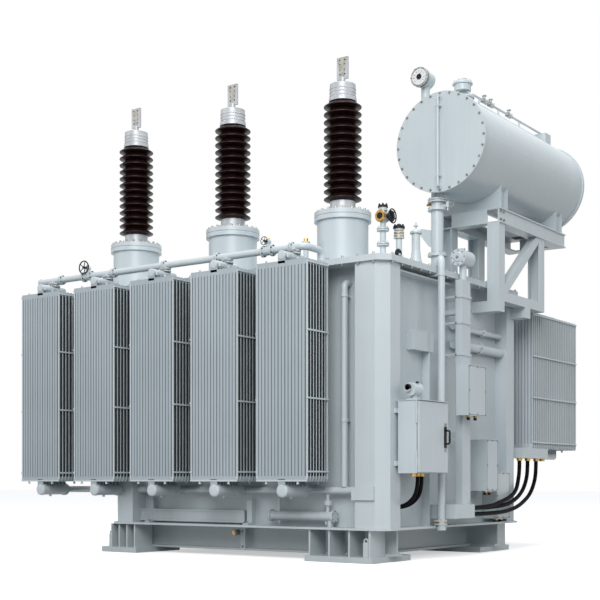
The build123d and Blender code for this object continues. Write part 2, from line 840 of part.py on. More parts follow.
# Right posts stand on a chord beside the tank, left posts on the cover
chord_bottom = chord_top - chord_depth
right_post_x0 = frame_x1 - post_width
rear_post_y = tank_front + rear_post_near
inner_y = tank_front + inner_rear_post_near
with BuildPart() as frame_posts:
    bar(right_post_x0, frame_x1, frame_y0, frame_y0 + post_depth, chord_top, beam_bottom)
    for x0 in (right_post_x0, frame_x1 - beam_plate):
        bar(x0, x0 + beam_plate, rear_post_y, rear_post_y + post_depth, chord_top, beam_bottom)
    web = rear_post_y + (post_depth - beam_plate) / 2
    bar(right_post_x0, frame_x1, web, web + beam_plate, chord_top, beam_bottom)
    for y0 in (frame_y0, inner_y):
        for x0 in (frame_x0, frame_x0 + post_width - beam_plate):
            bar(x0, x0 + beam_plate, y0, y0 + post_depth, cover_top, beam_bottom)
        web = y0 + (post_depth - beam_plate) / 2
        bar(frame_x0, frame_x0 + post_width, web, web + beam_plate, cover_top, beam_bottom)
keep(frame_posts, "frame_posts")
with BuildPart() as chord:
    bar(right_post_x0, frame_x1, frame_y0, rear_post_y + post_depth, chord_bottom, chord_top)
keep(chord, "frame_chord")
with BuildPart() as chord_brackets:
    for x0, y0 in ((end_wall, frame_y0), (tank_right, inner_y)):
        bar(x0, frame_x1, y0, y0 + post_width, chord_bottom - bracket_depth, chord_bottom)
keep(chord_brackets, "chord_brackets")
with BuildPart() as frame_brace:
    y0 = frame_y0 + post_depth
    slope = hypot(rear_post_y - y0, beam_bottom - chord_top)
    along = brace_width * slope / (beam_bottom - chord_top)
    up = brace_width * slope / (rear_post_y - y0)
    with BuildSketch(Plane.YZ.offset(frame_x1 - brace_depth)):
        with BuildLine():
            Polyline(
                (y0, chord_top),
                (y0 + along / 2, chord_top),
                (rear_post_y, beam_bottom - up / 2),
                (rear_post_y, beam_bottom),
                (rear_post_y - along / 2, beam_bottom),
                (y0, chord_top + up / 2),
                close=True,
            )
        make_face()
    extrude(amount=brace_depth)
keep(frame_brace, "frame_brace")

# Level gauge on a stub in front of the shell's top, its dial towards the front
gauge_x = axis_x - gauge_in
gauge_y = shell_y0 + gauge_back
gauge_z = conservator_z + conservator_radius + gauge_lift
with BuildPart() as level_gauge:
    rod_z(gauge_x, gauge_y, conservator_z, gauge_z, gauge_stub_radius)
    cut_to_shell()
    rod_y(gauge_x, gauge_y - gauge_depth, gauge_y + gauge_stub_radius, gauge_z, gauge_radius)
    dial_y = gauge_y - gauge_depth
    rod_y(gauge_x, dial_y - gauge_lip, dial_y, gauge_z, gauge_radius + gauge_lip)
keep(level_gauge, "level_gauge")

# Filler dome with its lid and a bow handle
dome_y = shell_y0 + dome_back
dome_top = conservator_z + conservator_radius + dome_height
with BuildPart() as filler_dome:
    rod_z(axis_x, dome_y, conservator_z, dome_top, dome_radius)
    cut_to_shell()
    rod_z(axis_x, dome_y, dome_top, dome_top + dome_lid, dome_radius + dome_lid)
    with BuildLine():
        FilletPolyline(
            (axis_x - dome_bow, dome_y, dome_top),
            (axis_x - dome_bow, dome_y, dome_top + dome_bow_height),
            (axis_x + dome_bow, dome_y, dome_top + dome_bow_height),
            (axis_x + dome_bow, dome_y, dome_top),
            radius=dome_bow_bend,
        )
    with BuildSketch(Plane.XY.offset(dome_top)):
        with Locations((axis_x - dome_bow, dome_y)):
            Circle(dome_bow_radius)
    sweep()
keep(filler_dome, "filler_dome")

# Breather pipe along the top of the shell to a small box near the rear end
breather_z = conservator_z + conservator_radius + breather_lift
breather_y1 = shell_y1 - breather_box_in
breather_x = axis_x + breather_out
with BuildPart() as breather_pipe:
    rod_y(breather_x, dome_y, breather_y1, breather_z, breather_radius)
    for share in breather_shares:
        y = dome_y + dome_radius + (breather_y1 - dome_y - dome_radius) * share
        rod_z(breather_x, y, conservator_z, breather_z, breather_stem_radius)
    rod_z(axis_x, dome_y, conservator_z, dome_top, dome_radius, mode=Mode.SUBTRACT)
    half = breather_box / 2
    bar(
        breather_x - half, breather_x + half, breather_y1, breather_y1 + breather_box,
        conservator_z, breather_z + half,
    )
    cut_to_shell()
keep(breather_pipe, "breather_pipe")

# Main oil pipe from the shell's belly down to the cover, and a thinner pipe from it down the end wall
main_x = tank_right - main_pipe_in
main_y = tank_front + main_pipe_near
thin_x = tank_right + thin_pipe_out
thin_y = tank_front + thin_pipe_near
thin_z0 = flange_top - thin_pipe_drop
reach = hypot(main_x - thin_x, main_y - thin_y)
join_share = (reach - main_pipe_radius) / reach
join_x = thin_x + (main_x - thin_x) * join_share
join_y = thin_y + (main_y - thin_y) * join_share
with BuildPart() as main_pipe:
    rod_z(main_x, main_y, main_pipe_bottom, conservator_z, main_pipe_radius)
    cut_to_shell()
    for z in (main_pipe_bottom, main_pipe_top_flange):
        rod_z(main_x, main_y, z, z + pipe_flange, pipe_flange_radius)
    rod_z(main_x, main_y, cover_top, main_pipe_bottom, main_pipe_radius)
    rod_z(main_x, main_y, cover_top, cover_top + pipe_flange, pipe_flange_radius)
keep(main_pipe, "main_pipe")
with BuildPart() as side_pipe:
    with BuildLine():
        FilletPolyline(
            (thin_x, thin_y, thin_z0),
            (thin_x, thin_y, thin_pipe_top),
            (join_x, join_y, thin_pipe_top),
            radius=riser_bend,
        )
    with BuildSketch(Plane.XY.offset(thin_z0)):
        with Locations((thin_x, thin_y)):
            Circle(thin_pipe_radius)
    sweep()
    rod_z(thin_x, thin_y, thin_z0 - pipe_flange, thin_z0, thin_pipe_radius + thin_pipe_lip)
    for share in clamp_shares:
        z = thin_z0 + (thin_pipe_top - thin_z0) * share
        clamp_x0 = end_wall + shelf_proud if z < rib_top else end_wall
        bar(clamp_x0, thin_x, thin_y - clamp_width / 2, thin_y + clamp_width / 2, z, z + clamp_width)
        rod_z(thin_x, thin_y, z, z + clamp_width, thin_pipe_radius + clamp_proud)
keep(side_pipe, "side_pipe")

# Relief device on top of its duct, covers facing front and rear, the duct tied to the end wall
duct_x0 = tank_right + duct_in
duct_x1 = tank_right + duct_out
duct_y = tank_front + duct_near + duct_width / 2
duct_bottom = cable_duct_bottom + cable_duct_height
with BuildPart() as relief_duct:
    bar(duct_x0, duct_x1, duct_y - duct_width / 2, duct_y + duct_width / 2, duct_bottom, duct_top)
    for share in duct_tie_shares:
        z = duct_bottom + (duct_top - duct_bottom) * share
        bar(end_wall, duct_x0, duct_y - duct_tie, duct_y + duct_tie, z, z + duct_tie)
keep(relief_duct, "relief_duct")
relief_x = (duct_x0 + duct_x1) / 2
with BuildPart() as relief_device:
    rod_z(relief_x, duct_y, duct_top, relief_z, relief_neck_radius)
    rod_y(relief_x, duct_y - relief_length / 2, duct_y + relief_length / 2, relief_z, relief_radius)
keep(relief_device, "relief_device")

# Fittings on the cover near its front right corner: dial thermometer, wheel valve and conical stub
with BuildPart() as cover_fittings:
    for x_in, y_back, radius, top in fitting_spots:
        x = tank_right - x_in
        y = tank_front + y_back
        rod_z(x, y, cover_top, top, radius)
        rod_z(x, y, cover_top, cover_top + fitting_flange, radius + fitting_lip)
        rod_z(x, y, top, top + fitting_flange, radius + fitting_lip)
keep(cover_fittings, "cover_fittings")


def end_box(near, width, bottom, height, front, back):
    """Sheet metal box on the end wall, its lid on the face towards the right."""
    x1 = tank_right + front
    y0 = tank_front + near
    with BuildPart() as box:
        bar(back, x1 - box_lid, y0, y0 + width, bottom, bottom + height)
        fillet(box.edges().filter_by(Axis.Z), box_round)
        bar(
            x1 - box_lid, x1, y0 - box_lid_lip, y0 + width + box_lid_lip,
            bottom - box_lid_lip, bottom + height + box_lid_lip,
        )
    return box


# Boxes on the end wall and on the relief duct
boxes = (
    (upper_box_near, upper_box_width, upper_box_bottom, upper_box_height, upper_box_front, duct_x1),
    (lower_box_near, lower_box_width, lower_box_bottom, lower_box_height, lower_box_front, end_wall),
    (rear_box_near, rear_box_width, rear_box_bottom, rear_box_height, rear_box_front, end_wall),
)
with BuildPart() as end_boxes:
    for box in boxes:
        add(end_box(*box).part)
keep(end_boxes, "end_boxes")

# Cable duct and conduit plate low on the end wall, and the gland box under the rear radiator
conduit_y0 = tank_front + conduit_box_near
with BuildPart() as cable_duct:
    bar(
        end_wall, tank_right + cable_duct_out, tank_front + cable_duct_near, tank_front + cable_duct_far,
        cable_duct_bottom, duct_bottom,
    )
    bar(
        end_wall, end_wall + conduit_box_depth, conduit_y0, conduit_y0 + conduit_box_width,
        conduit_box_bottom, conduit_box_bottom + conduit_box_height,
    )
keep(cable_duct, "cable_duct")
with BuildPart() as gland_box:
    x1 = tank_right + gland_box_front
    bar(
        x1 - gland_box_depth, x1, tank_back, tank_back + gland_box_width,
        rear_bottom - gland_box_height, rear_bottom,
    )
keep(gland_box, "gland_box")

# Control cabinet: open box with a roof, on two rails
cab_x0 = tank_right + rail_plate
cab_x1 = cab_x0 + cabinet_depth
cab_y0 = tank_front + cabinet_near
cab_y1 = cab_y0 + cabinet_width
cab_top = cabinet_bottom + cabinet_height
hinge_x = cab_x1 + door_gap / 2
hinge_y = cab_y0 - hinge_radius - hinge_stand
hinge_zs = [cabinet_bottom + cabinet_height * share for share in (hinge_share, 1 - hinge_share)]
with BuildPart() as cabinet:
    bar(cab_x0, cab_x1, cab_y0, cab_y1, cabinet_bottom, cab_top)
    bar(
        cab_x0 + cabinet_wall, cab_x1 + overrun, cab_y0 + cabinet_wall, cab_y1 - cabinet_wall,
        cabinet_bottom + cabinet_wall, cab_top - cabinet_wall, mode=Mode.SUBTRACT,
    )
    bar(
        cab_x0, cab_x1 + door_gap + door_thick + cabinet_roof_lip, cab_y0 - cabinet_roof_lip,
        cab_y1 + cabinet_roof_lip, cab_top, cab_top + cabinet_roof,
    )
    for z in hinge_zs:
        for share, gap in zip(knuckle_shares, (-hinge_gap, hinge_gap)):
            z0 = z + hinge_height * share + gap
            rod_z(hinge_x, hinge_y, z0, z0 + hinge_height, hinge_radius)
            bar(hinge_x - hinge_radius, cab_x1, hinge_y, cab_y0, z0, z0 + hinge_height)
        rod_z(hinge_x, hinge_y, z - hinge_height, z + hinge_height, hinge_pin_radius)
    for z in (cabinet_bottom + rail_margin, cab_top - rail_margin - rail_height):
        bar(tank_right, cab_x0, tank_front + rail_near, cab_y1, z, z + rail_height)
keep(cabinet, "cabinet")

# Door: shallow pan hung on the hinges, with its knuckles between those of the cabinet
door_x0 = cab_x1 + door_gap
door_x1 = door_x0 + door_thick
door_z0 = cabinet_bottom + door_margin
door_z1 = cab_top - door_margin
with BuildPart() as cabinet_door:
    bar(door_x0, door_x1, cab_y0, cab_y1, door_z0, door_z1)
    bar(
        door_x0 - overrun, door_x1 - door_skin, cab_y0 + door_skin, cab_y1 - door_skin,
        door_z0 + door_skin, door_z1 - door_skin, mode=Mode.SUBTRACT,
    )
    for z in hinge_zs:
        rod_z(hinge_x, hinge_y, z - hinge_height / 2, z + hinge_height / 2, hinge_radius)
        bar(
            door_x0, door_x0 + hinge_leaf, hinge_y, cab_y0 + door_skin,
            z - hinge_height / 2, z + hinge_height / 2,
        )
        rod_z(
            hinge_x, hinge_y, z - hinge_height, z + hinge_height,
            hinge_pin_radius + hinge_pin_gap, mode=Mode.SUBTRACT,
        )
keep(cabinet_door, "cabinet_door")
handle_y = cab_y1 - handle_in
handle_z = cabinet_bottom + cabinet_height * handle_share
with BuildPart() as door_handle:
    bar(
        door_x1, door_x1 + handle_plate, handle_y - handle_base / 2, handle_y + handle_base / 2,
        handle_z - handle_base_height / 2, handle_z + handle_base_height / 2,
    )
    grip_x = door_x1 + handle_plate
    low = handle_z - handle_grip_height / 2
    high = handle_z + handle_grip_height / 2
    with BuildLine():
        FilletPolyline(
            (grip_x, handle_y, low),
            (grip_x + handle_reach, handle_y, low),
            (grip_x + handle_reach, handle_y, high),
            (grip_x, handle_y, high),
            radius=handle_bend,
        )
    with BuildSketch(Plane.YZ.offset(grip_x)):
        with Locations((handle_y, low)):
            Circle(handle_grip_radius)
    sweep()
keep(door_handle, "door_handle")

# Motor head on the cabinet roof
with BuildPart() as motor_head:
    roof = cab_top + cabinet_roof
    x = (cab_x0 + cab_x1) / 2
    y = cab_y0 + motor_in
    half = motor_base / 2
    bar(x - half, x + half, y - half, y + half, roof, roof + motor_base_height)
    rod_z(x, y, roof, roof + motor_lift, motor_radius / 2)
    rod_y(x, y - motor_length / 2, y + motor_length / 2, roof + motor_lift + motor_radius / 2, motor_radius)
    rod_y(
        x, y - motor_length / 2 - motor_cap_length, y - motor_length / 2,
        roof + motor_lift + motor_radius / 2, motor_cap_radius,
    )
keep(motor_head, "motor_head")

# Glands: brass collars where the conduits and cables leave
with BuildPart() as glands:
    for y in cabinet_gland_spots:
        x = tank_right + conduit_routes[0][0][0]
        rod_z(x, tank_front + y, cabinet_bottom - gland_height, cabinet_bottom, gland_radius)
    for y in gland_spots:
        x, _, z = cable_routes[0][0]
        rod_z(tank_right + x, tank_front + y, z, rear_bottom - gland_box_height, big_gland_radius)
keep(glands, "glands")


def cord(route, radius, name):
    """Round cord along straight runs joined by arcs."""
    points = [(tank_right + x, tank_front + y, z) for x, y, z in route]
    radii = turn_radii(points)
    with BuildPart() as tube:
        with BuildLine() as path:
            FilletPolyline(*points, radius=radii)
        route_wire = path.wires()[0]
        with BuildSketch(Plane(origin=points[0], z_dir=route_wire % 0)):
            Circle(radius)
        sweep()
    length = route_wire.length
    solid_share = tube.part.volume / (pi * radius**2 * length)
    arcs = [round(radius) for radius in radii]
    print(name, "length", round(length), "volume share", round(solid_share, 4), "radii", arcs)
    keep(tube, name)


for index, route in enumerate(conduit_routes):
    cord(route, conduit_radius, "conduit_" + str(index + 1))
for index, route in enumerate(cable_routes):
    cord(route, cable_radius, "cable_" + str(index + 1))
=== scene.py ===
"""Power transformer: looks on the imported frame. Lengths in metres, Z up, X towards the cabinet end."""
import json
from math import cos, pi, radians, sin

import bmesh
import bpy
from mathutils import Matrix, Vector


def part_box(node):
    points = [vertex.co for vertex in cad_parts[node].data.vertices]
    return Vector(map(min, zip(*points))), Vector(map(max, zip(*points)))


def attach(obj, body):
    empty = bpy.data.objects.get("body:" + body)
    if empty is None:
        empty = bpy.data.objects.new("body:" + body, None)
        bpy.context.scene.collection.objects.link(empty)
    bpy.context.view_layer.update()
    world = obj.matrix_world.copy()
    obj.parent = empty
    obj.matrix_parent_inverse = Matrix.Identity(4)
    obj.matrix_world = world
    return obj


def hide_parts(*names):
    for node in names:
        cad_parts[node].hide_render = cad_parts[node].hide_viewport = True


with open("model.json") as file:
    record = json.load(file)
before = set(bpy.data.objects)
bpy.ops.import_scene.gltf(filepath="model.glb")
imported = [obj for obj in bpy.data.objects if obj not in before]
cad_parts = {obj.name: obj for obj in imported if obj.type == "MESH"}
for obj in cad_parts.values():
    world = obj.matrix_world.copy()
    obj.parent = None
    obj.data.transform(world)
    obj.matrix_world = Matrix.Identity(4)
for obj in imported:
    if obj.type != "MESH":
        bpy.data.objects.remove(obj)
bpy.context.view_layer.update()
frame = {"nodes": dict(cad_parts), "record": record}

# Planes of the frame that the pieces are placed from
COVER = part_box("cover")
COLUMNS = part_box("corner_columns")
END_X = COLUMNS[1].x
FRONT_Y = COLUMNS[0].y
MAIN = "transformer"
DOOR = "door"
BUSHINGS = (1, 2, 3)
FRONT_RADIATORS = range(1, 6)

UP, DOWN = (0, 0, 1), (0, 0, -1)
RIGHT, LEFT = (1, 0, 0), (-1, 0, 0)
BACK, FRONT = (0, 1, 0), (0, -1, 0)

# Camera: fitted to the photograph
CAMERA_RIGHT = 4.945
CAMERA_AHEAD = 8.120
EYE_HEIGHT = 0.678
CAMERA_TURN = 35.44
SENSOR = 36.0
LENS = 70.7
SHIFT_UP = 0.301

# Light: colour and strength of the world, then name, place, target, size and power of each lamp
SOFT_LIGHT = ((0.93, 0.96, 1.0), 0.48)
WHITE_LIGHT = ((1, 1, 1), 1.0)
LAMPS = (
    ("key", (6.0, -10.5, 7.5), (0.3, -0.4, 1.6), 7.0, 1120),
    ("side", (12.0, 0.0, 4.5), (1.8, 0.0, 1.2), 5.0, 120),
    ("fill", (-9.0, -8.0, 6.0), (-0.5, -0.5, 1.5), 8.0, 220),
    ("top", (1.0, 0.5, 12.0), (1.0, 0.0, 0.0), 7.0, 820),
)
FLOOR_HALF = 60.0
FLOOR_PAINT = {
    "Base Color": (0.93, 0.93, 0.93, 1), "Roughness": 0.9, "Specular IOR Level": 0.1,
    "Emission Color": (1, 1, 1, 1), "Emission Strength": 0.5,
}

# Paint: scale and detail of its noises, how strongly streaks, specks and dust show, and how high the dust reaches
CLOUDS, STREAKS, SPECKS, SHEEN, PEEL = (1.3, 4), (3.0, 3, (6, 6, 0.35)), (55, 2), (9, 3), (160, 2)
WHITE = (1, 1, 1)
DUST = (0.74, 0.74, 0.72)
GRIME = (0.70, 0.68, 0.64)
STREAK_SHARE = 0.14
SPECK_SHARE = 0.25
DUST_SHARE = 0.45
DUST_HEIGHT = 0.5

SMOOTH_ANGLE = radians(32)
HEX_SIDES = 6
BOLT_HEAD_SHARE = 0.62
WASHER_SHARE = 1.25

# Radiator panels, and the number of the material on each of their faces
PANEL_WIDTH = 0.520
PANEL_THICK = 0.012
PANEL_CREST = 0.0095
PANEL_HEM = 0.0055
PANEL_EDGE = 0.022
PANEL_SEAM = 0.0015
PANEL_SHOULDER = 0.006
HEM_WIDTH = 0.011
HEM_FOOT = 0.013
END_HEM = 0.020
FLUTE_END = 0.045
FLUTES = 14
# Material numbers: plain paint, grooves darker as painted shade with some dirt, inner panels' flutes darker as painted
# shade, hems lighter as a painted highlight
PAINT, GROOVE_SHADE_AND_DIRT, INNER_SHADE, EDGE_HIGHLIGHT = range(4)

# Radiator packs: number and pitch of the panels, heights of the panels' ends and of the headers, tie bars
FRONT_PACK = {"rows": 8, "pitch": 0.042, "bottom": 0.670, "top": 2.480, "lower_z": 0.595, "upper_z": 2.530}
REAR_PACK = {"rows": 25, "pitch": 0.046, "bottom": 1.000, "top": 2.358, "lower_z": 0.940, "upper_z": 2.408}
REAR_PACKS = 4
REAR_SPACING = 0.700
TIE_SHARES = (0.045, 0.375, 0.68, 0.985)
TIE_HALF = 0.007

# Upper collector: its centre behind the front of its box, valves with their wheels' radii, flange pairs
COLLECTOR_INSET = 0.037
COLLECTOR_VALVES = ((-1.393, 0.060), (0.752, 0.034))
COLLECTOR_JOINTS = (-1.75, -1.05, -0.42, 0.20, 1.00)

# Tops of the fittings on the cover: in from the end plane, back from the front plane, height
COVER_FITTINGS = {
    "valve": (0.246, 0.380, 2.966), "cap": (0.149, 0.480, 2.806),
    "cone": (0.071, 0.630, 2.797), "short": (0.935, 0.230, 2.747),
}

# Outline of the bracket on the main pipe: across from the pipe's middle, height
BRACKET = ((-0.050, 2.800), (-0.050, 2.960), (-0.150, 2.985), (-0.185, 2.970), (-0.180, 2.935), (-0.090, 2.820))

# Lids on the end wall: near lower corner from the end plane and the front plane, width and height
BOX_LIDS = (
    ((0.228, 1.022, 1.246), (0.329, 0.436)),
    ((0.094, 1.640, 0.584), (0.227, 0.470)),
    ((0.030, 1.980, 0.320), (0.270, 0.435)),
)

# Pipes behind the duct: x, height, radius, joints as shares of the run; middle of the relief device below its top
WALL_PIPES = ((1.752, 1.904, 0.042, (0.12, 0.42)), (1.742, 2.060, 0.026, (0.20, 0.50)))
RELIEF_TOP = 0.075


# Camera, light and floor

def new_object(name, data):
    """Object in the scene that holds the data."""
    thing = bpy.data.objects.new(name, data)
    bpy.context.scene.collection.objects.link(thing)
    return thing


def make_camera():
    """Camera at the photograph's place, looking level."""
    data = bpy.data.cameras.new("camera")
    data.sensor_width = SENSOR
    data.lens = LENS
    data.shift_y = SHIFT_UP
    data.clip_end = 200
    camera = new_object("camera", data)
    camera.location = (END_X + CAMERA_RIGHT, FRONT_Y - CAMERA_AHEAD, EYE_HEIGHT)
    camera.rotation_euler = (radians(90), 0, radians(CAMERA_TURN))
    bpy.context.scene.camera = camera
    bpy.context.scene.view_settings.view_transform = "Standard"


def make_world():
    """White to the camera, in reflections and through glass, a softer grey as light."""
    world = bpy.data.worlds.new("studio")
    world.use_nodes = True
    bpy.context.scene.world = world
    nodes, links = world.node_tree.nodes, world.node_tree.links
    nodes.clear()
    path = nodes.new("ShaderNodeLightPath")
    seen = path.outputs["Is Camera Ray"]
    for ray in ("Is Transmission Ray", "Is Glossy Ray"):
        larger = nodes.new("ShaderNodeMath")
        larger.operation = "MAXIMUM"
        links.new(seen, larger.inputs[0])
        links.new(path.outputs[ray], larger.inputs[1])
        seen = larger.outputs[0]
    mix = nodes.new("ShaderNodeMixShader")
    links.new(seen, mix.inputs[0])
    for entry, (colour, strength) in enumerate((SOFT_LIGHT, WHITE_LIGHT), 1):
        light = nodes.new("ShaderNodeBackground")
        light.inputs["Color"].default_value = (*colour, 1)
        light.inputs["Strength"].default_value = strength
        links.new(light.outputs[0], mix.inputs[entry])
    out = nodes.new("ShaderNodeOutputWorld")
    links.new(mix.outputs[0], out.inputs["Surface"])


def area_light(name, place, target, size, power):
    """Soft square light aimed at a point."""
    data = bpy.data.lights.new(name, "AREA")
    data.shape = "SQUARE"
    data.size = size
    data.energy = power
    lamp = new_object(name, data)
    lamp.location = place
    lamp.rotation_euler = (Vector(target) - Vector(place)).to_track_quat("-Z", "Y").to_euler()


def make_stage():
    """Pale floor with soft shadows, and the studio lights."""
    mesh = bpy.data.meshes.new("floor")
    corners = [(x * FLOOR_HALF, y * FLOOR_HALF, 0) for x, y in ((-1, -1), (1, -1), (1, 1), (-1, 1))]
    mesh.from_pydata(corners, [], [(0, 1, 2, 3)])
    floor = new_object("floor", mesh)
    material, nodes, links = new_material("floor")
    pale = nodes["Principled BSDF"]
    for entry, value in FLOOR_PAINT.items():
        pale.inputs[entry].default_value = value
    dull = nodes.new("ShaderNodeBsdfDiffuse")
    dull.inputs["Color"].default_value = (0.30, 0.30, 0.30, 1)
    path = nodes.new("ShaderNodeLightPath")
    mix = nodes.new("ShaderNodeMixShader")
    links.new(path.outputs["Is Diffuse Ray"], mix.inputs[0])
    links.new(pale.outputs[0], mix.inputs[1])
    links.new(dull.outputs[0], mix.inputs[2])
    links.new(mix.outputs[0], nodes["Material Output"].inputs["Surface"])
    mesh.materials.append(material)
    for lamp in LAMPS:
        area_light(*lamp)


# Materials

def new_material(name):
    """Material with Blender's default shader and output, its nodes and its links."""
    material = bpy.data.materials.new(name)
    material.use_nodes = True
    return material, material.node_tree.nodes, material.node_tree.links


def noise(nodes, links, scale, detail, stretch=(1, 1, 1)):
    """Noise on object coordinates, stretched along the axes."""
    coordinates = nodes.new("ShaderNodeTexCoord")
    mapping = nodes.new("ShaderNodeMapping")
    mapping.inputs["Scale"].default_value = stretch
    texture = nodes.new("ShaderNodeTexNoise")
    texture.inputs["Scale"].default_value = scale
    texture.inputs["Detail"].default_value = detail
    links.new(coordinates.outputs["Object"], mapping.inputs["Vector"])
    links.new(mapping.outputs["Vector"], texture.inputs["Vector"])
    return texture.outputs["Fac"]


def ramp(nodes, links, value, low, high, colour_low, colour_high):
    """Two-colour ramp over a value."""
    node = nodes.new("ShaderNodeValToRGB")
    node.color_ramp.elements[0].position = low
    node.color_ramp.elements[1].position = high
    node.color_ramp.elements[0].color = (*colour_low, 1)
    node.color_ramp.elements[1].color = (*colour_high, 1)
    links.new(value, node.inputs["Fac"])
    return node.outputs["Color"]


def stained(nodes, links, share, first, second):
    """Colour socket multiplied by a second one, as strongly as the share says."""
    node = nodes.new("ShaderNodeMix")
    node.data_type = "RGBA"
    node.blend_type = "MULTIPLY"
    node.inputs["Factor"].default_value = share
    links.new(first, node.inputs["A"])
    links.new(second, node.inputs["B"])
    return node.outputs["Result"]


def bump(nodes, links, shader, height, strength, distance):
    """Bump from a height socket."""
    node = nodes.new("ShaderNodeBump")
    node.inputs["Strength"].default_value = strength
    node.inputs["Distance"].default_value = distance
    links.new(height, node.inputs["Height"])
    links.new(node.outputs["Normal"], shader.inputs["Normal"])


def rough_range(nodes, links, shader, value, low, high):
    """Roughness between two limits by a value."""
    node = nodes.new("ShaderNodeMapRange")
    node.inputs["To Min"].default_value = low
    node.inputs["To Max"].default_value = high
    links.new(value, node.inputs["Value"])
    links.new(node.outputs["Result"], shader.inputs["Roughness"])


def painted(name, light, dark, dirt, roughness):
    """Sprayed machine paint: slight clouding, run-off streaks, dust towards the ground, orange-peel bump."""
    material, nodes, links = new_material(name)
    shader = nodes["Principled BSDF"]
    clouds = ramp(nodes, links, noise(nodes, links, *CLOUDS), 0.35, 0.7, dark, light)
    streaks = ramp(nodes, links, noise(nodes, links, *STREAKS), 0.5, 0.78, WHITE, dirt)
    colour = stained(nodes, links, STREAK_SHARE, clouds, streaks)
    specks = ramp(nodes, links, noise(nodes, links, *SPECKS), 0.68, 0.8, WHITE, dirt)
    colour = stained(nodes, links, SPECK_SHARE, colour, specks)
    place = nodes.new("ShaderNodeTexCoord")
    split = nodes.new("ShaderNodeSeparateXYZ")
    links.new(place.outputs["Object"], split.inputs[0])
    dust = ramp(nodes, links, split.outputs["Z"], 0.0, DUST_HEIGHT, dirt, WHITE)
    colour = stained(nodes, links, DUST_SHARE, colour, dust)
    links.new(colour, shader.inputs["Base Color"])
    rough_range(nodes, links, shader, noise(nodes, links, *SHEEN), roughness - 0.07, roughness + 0.09)
    bump(nodes, links, shader, noise(nodes, links, *PEEL), 0.06, 0.002)
    return material


def plain(name, first, second, roughness, metallic=0.0, scale=14.0, grain=0.05, gloss=0.4):
    """Simple surface: two close shades by noise, a rough range and a fine bump."""
    material, nodes, links = new_material(name)
    shader = nodes["Principled BSDF"]
    links.new(ramp(nodes, links, noise(nodes, links, scale, 4), 0.35, 0.68, first, second), shader.inputs["Base Color"])
    shader.inputs["Metallic"].default_value = metallic
    shader.inputs["Specular IOR Level"].default_value = gloss
    rough_range(nodes, links, shader, noise(nodes, links, scale * 2, 3), roughness * 0.8, roughness * 1.25)
    bump(nodes, links, shader, noise(nodes, links, scale * 9, 2), grain, 0.001)
    return material


TANK_PAINT = painted("tank_paint", (0.52, 0.58, 0.605), (0.475, 0.535, 0.56), (0.72, 0.72, 0.70), 0.36)
# Front radiators' paint: darker than the rear radiators' copy of the same paint, as painted shade among the flutes
SHADED_RADIATOR_PAINT = painted("radiator_paint", (0.36, 0.415, 0.445), (0.325, 0.38, 0.41), DUST, 0.45)
# Groove copy: darker, as painted shade with some dirt in the grooves
GROOVE_SHADE_AND_DIRT_PAINT = painted("radiator_groove_shade_and_dirt", (0.15, 0.18, 0.195), (0.125, 0.15, 0.165), GRIME, 0.6)
# Inner copy: near black, as painted shade between the close panels
INNER_SHADE_PAINT = painted("radiator_inner_shade", (0.030, 0.038, 0.044), (0.024, 0.031, 0.036), GRIME, 0.6)
# Edge copy: lighter, as a painted highlight on the panels' hems
EDGE_HIGHLIGHT_PAINT = painted("radiator_edge_highlight", (0.56, 0.62, 0.645), (0.52, 0.575, 0.60), (0.76, 0.76, 0.74), 0.42)
REAR_PAINT = painted("rear_radiator_paint", (0.52, 0.57, 0.60), (0.47, 0.52, 0.55), DUST, 0.45)
# Rear groove copy: darker, as painted shade with some dirt in the grooves
REAR_GROOVE_SHADE_AND_DIRT = painted("rear_groove_shade_and_dirt", (0.34, 0.385, 0.415), (0.30, 0.345, 0.375), GRIME, 0.6)
# Rear inner copy: darker, as painted shade between the close panels
REAR_INNER_SHADE = painted("rear_inner_shade", (0.16, 0.185, 0.205), (0.135, 0.16, 0.18), GRIME, 0.6)
GLAZE = plain("brown_glaze", (0.007, 0.003, 0.003), (0.015, 0.006, 0.0055), 0.34, grain=0.01, gloss=0.16)
# Rim glaze: lighter red-brown than the glaze, as a painted highlight on the sheds' edges
RIM_HIGHLIGHT = plain("glaze_rim_highlight", (0.055, 0.014, 0.013), (0.080, 0.022, 0.019), 0.34, grain=0.01, gloss=0.2)
SILVER = plain("bushing_metal", (0.40, 0.42, 0.44), (0.47, 0.49, 0.51), 0.42, metallic=0.3, scale=6, grain=0.01)
PALM = plain("terminal_metal", (0.30, 0.285, 0.26), (0.42, 0.40, 0.37), 0.45, metallic=0.55, scale=30)
ZINC = plain("zinc", (0.20, 0.20, 0.19), (0.36, 0.36, 0.35), 0.42, metallic=0.6, scale=60)
RUBBER = plain("black_rubber", (0.0015, 0.0015, 0.002), (0.004, 0.004, 0.005), 0.6, scale=40, grain=0.01, gloss=0.05)
PLASTIC = plain("black_plastic", (0.005, 0.005, 0.006), (0.012, 0.012, 0.014), 0.45, scale=60, grain=0.02, gloss=0.2)
BRASS = plain("brass", (0.36, 0.21, 0.06), (0.52, 0.33, 0.10), 0.36, metallic=0.85, scale=50)
DIAL = plain("dial_face", (0.60, 0.62, 0.62), (0.70, 0.71, 0.70), 0.35, scale=30)

SLOT_MATERIALS = {
    "tank_paint": TANK_PAINT,
    "radiator_paint": SHADED_RADIATOR_PAINT,
    "brown_glaze": GLAZE,
    "bushing_metal": SILVER,
    "black_rubber": RUBBER,
    "black_plastic": PLASTIC,
    "brass": BRASS,
}
SLOT_OF = {material: slot for slot, material in SLOT_MATERIALS.items()}
SLOT_OF |= {REAR_PAINT: "radiator_paint", RIM_HIGHLIGHT: "brown_glaze", ZINC: "bushing_metal", DIAL: "tank_paint"}


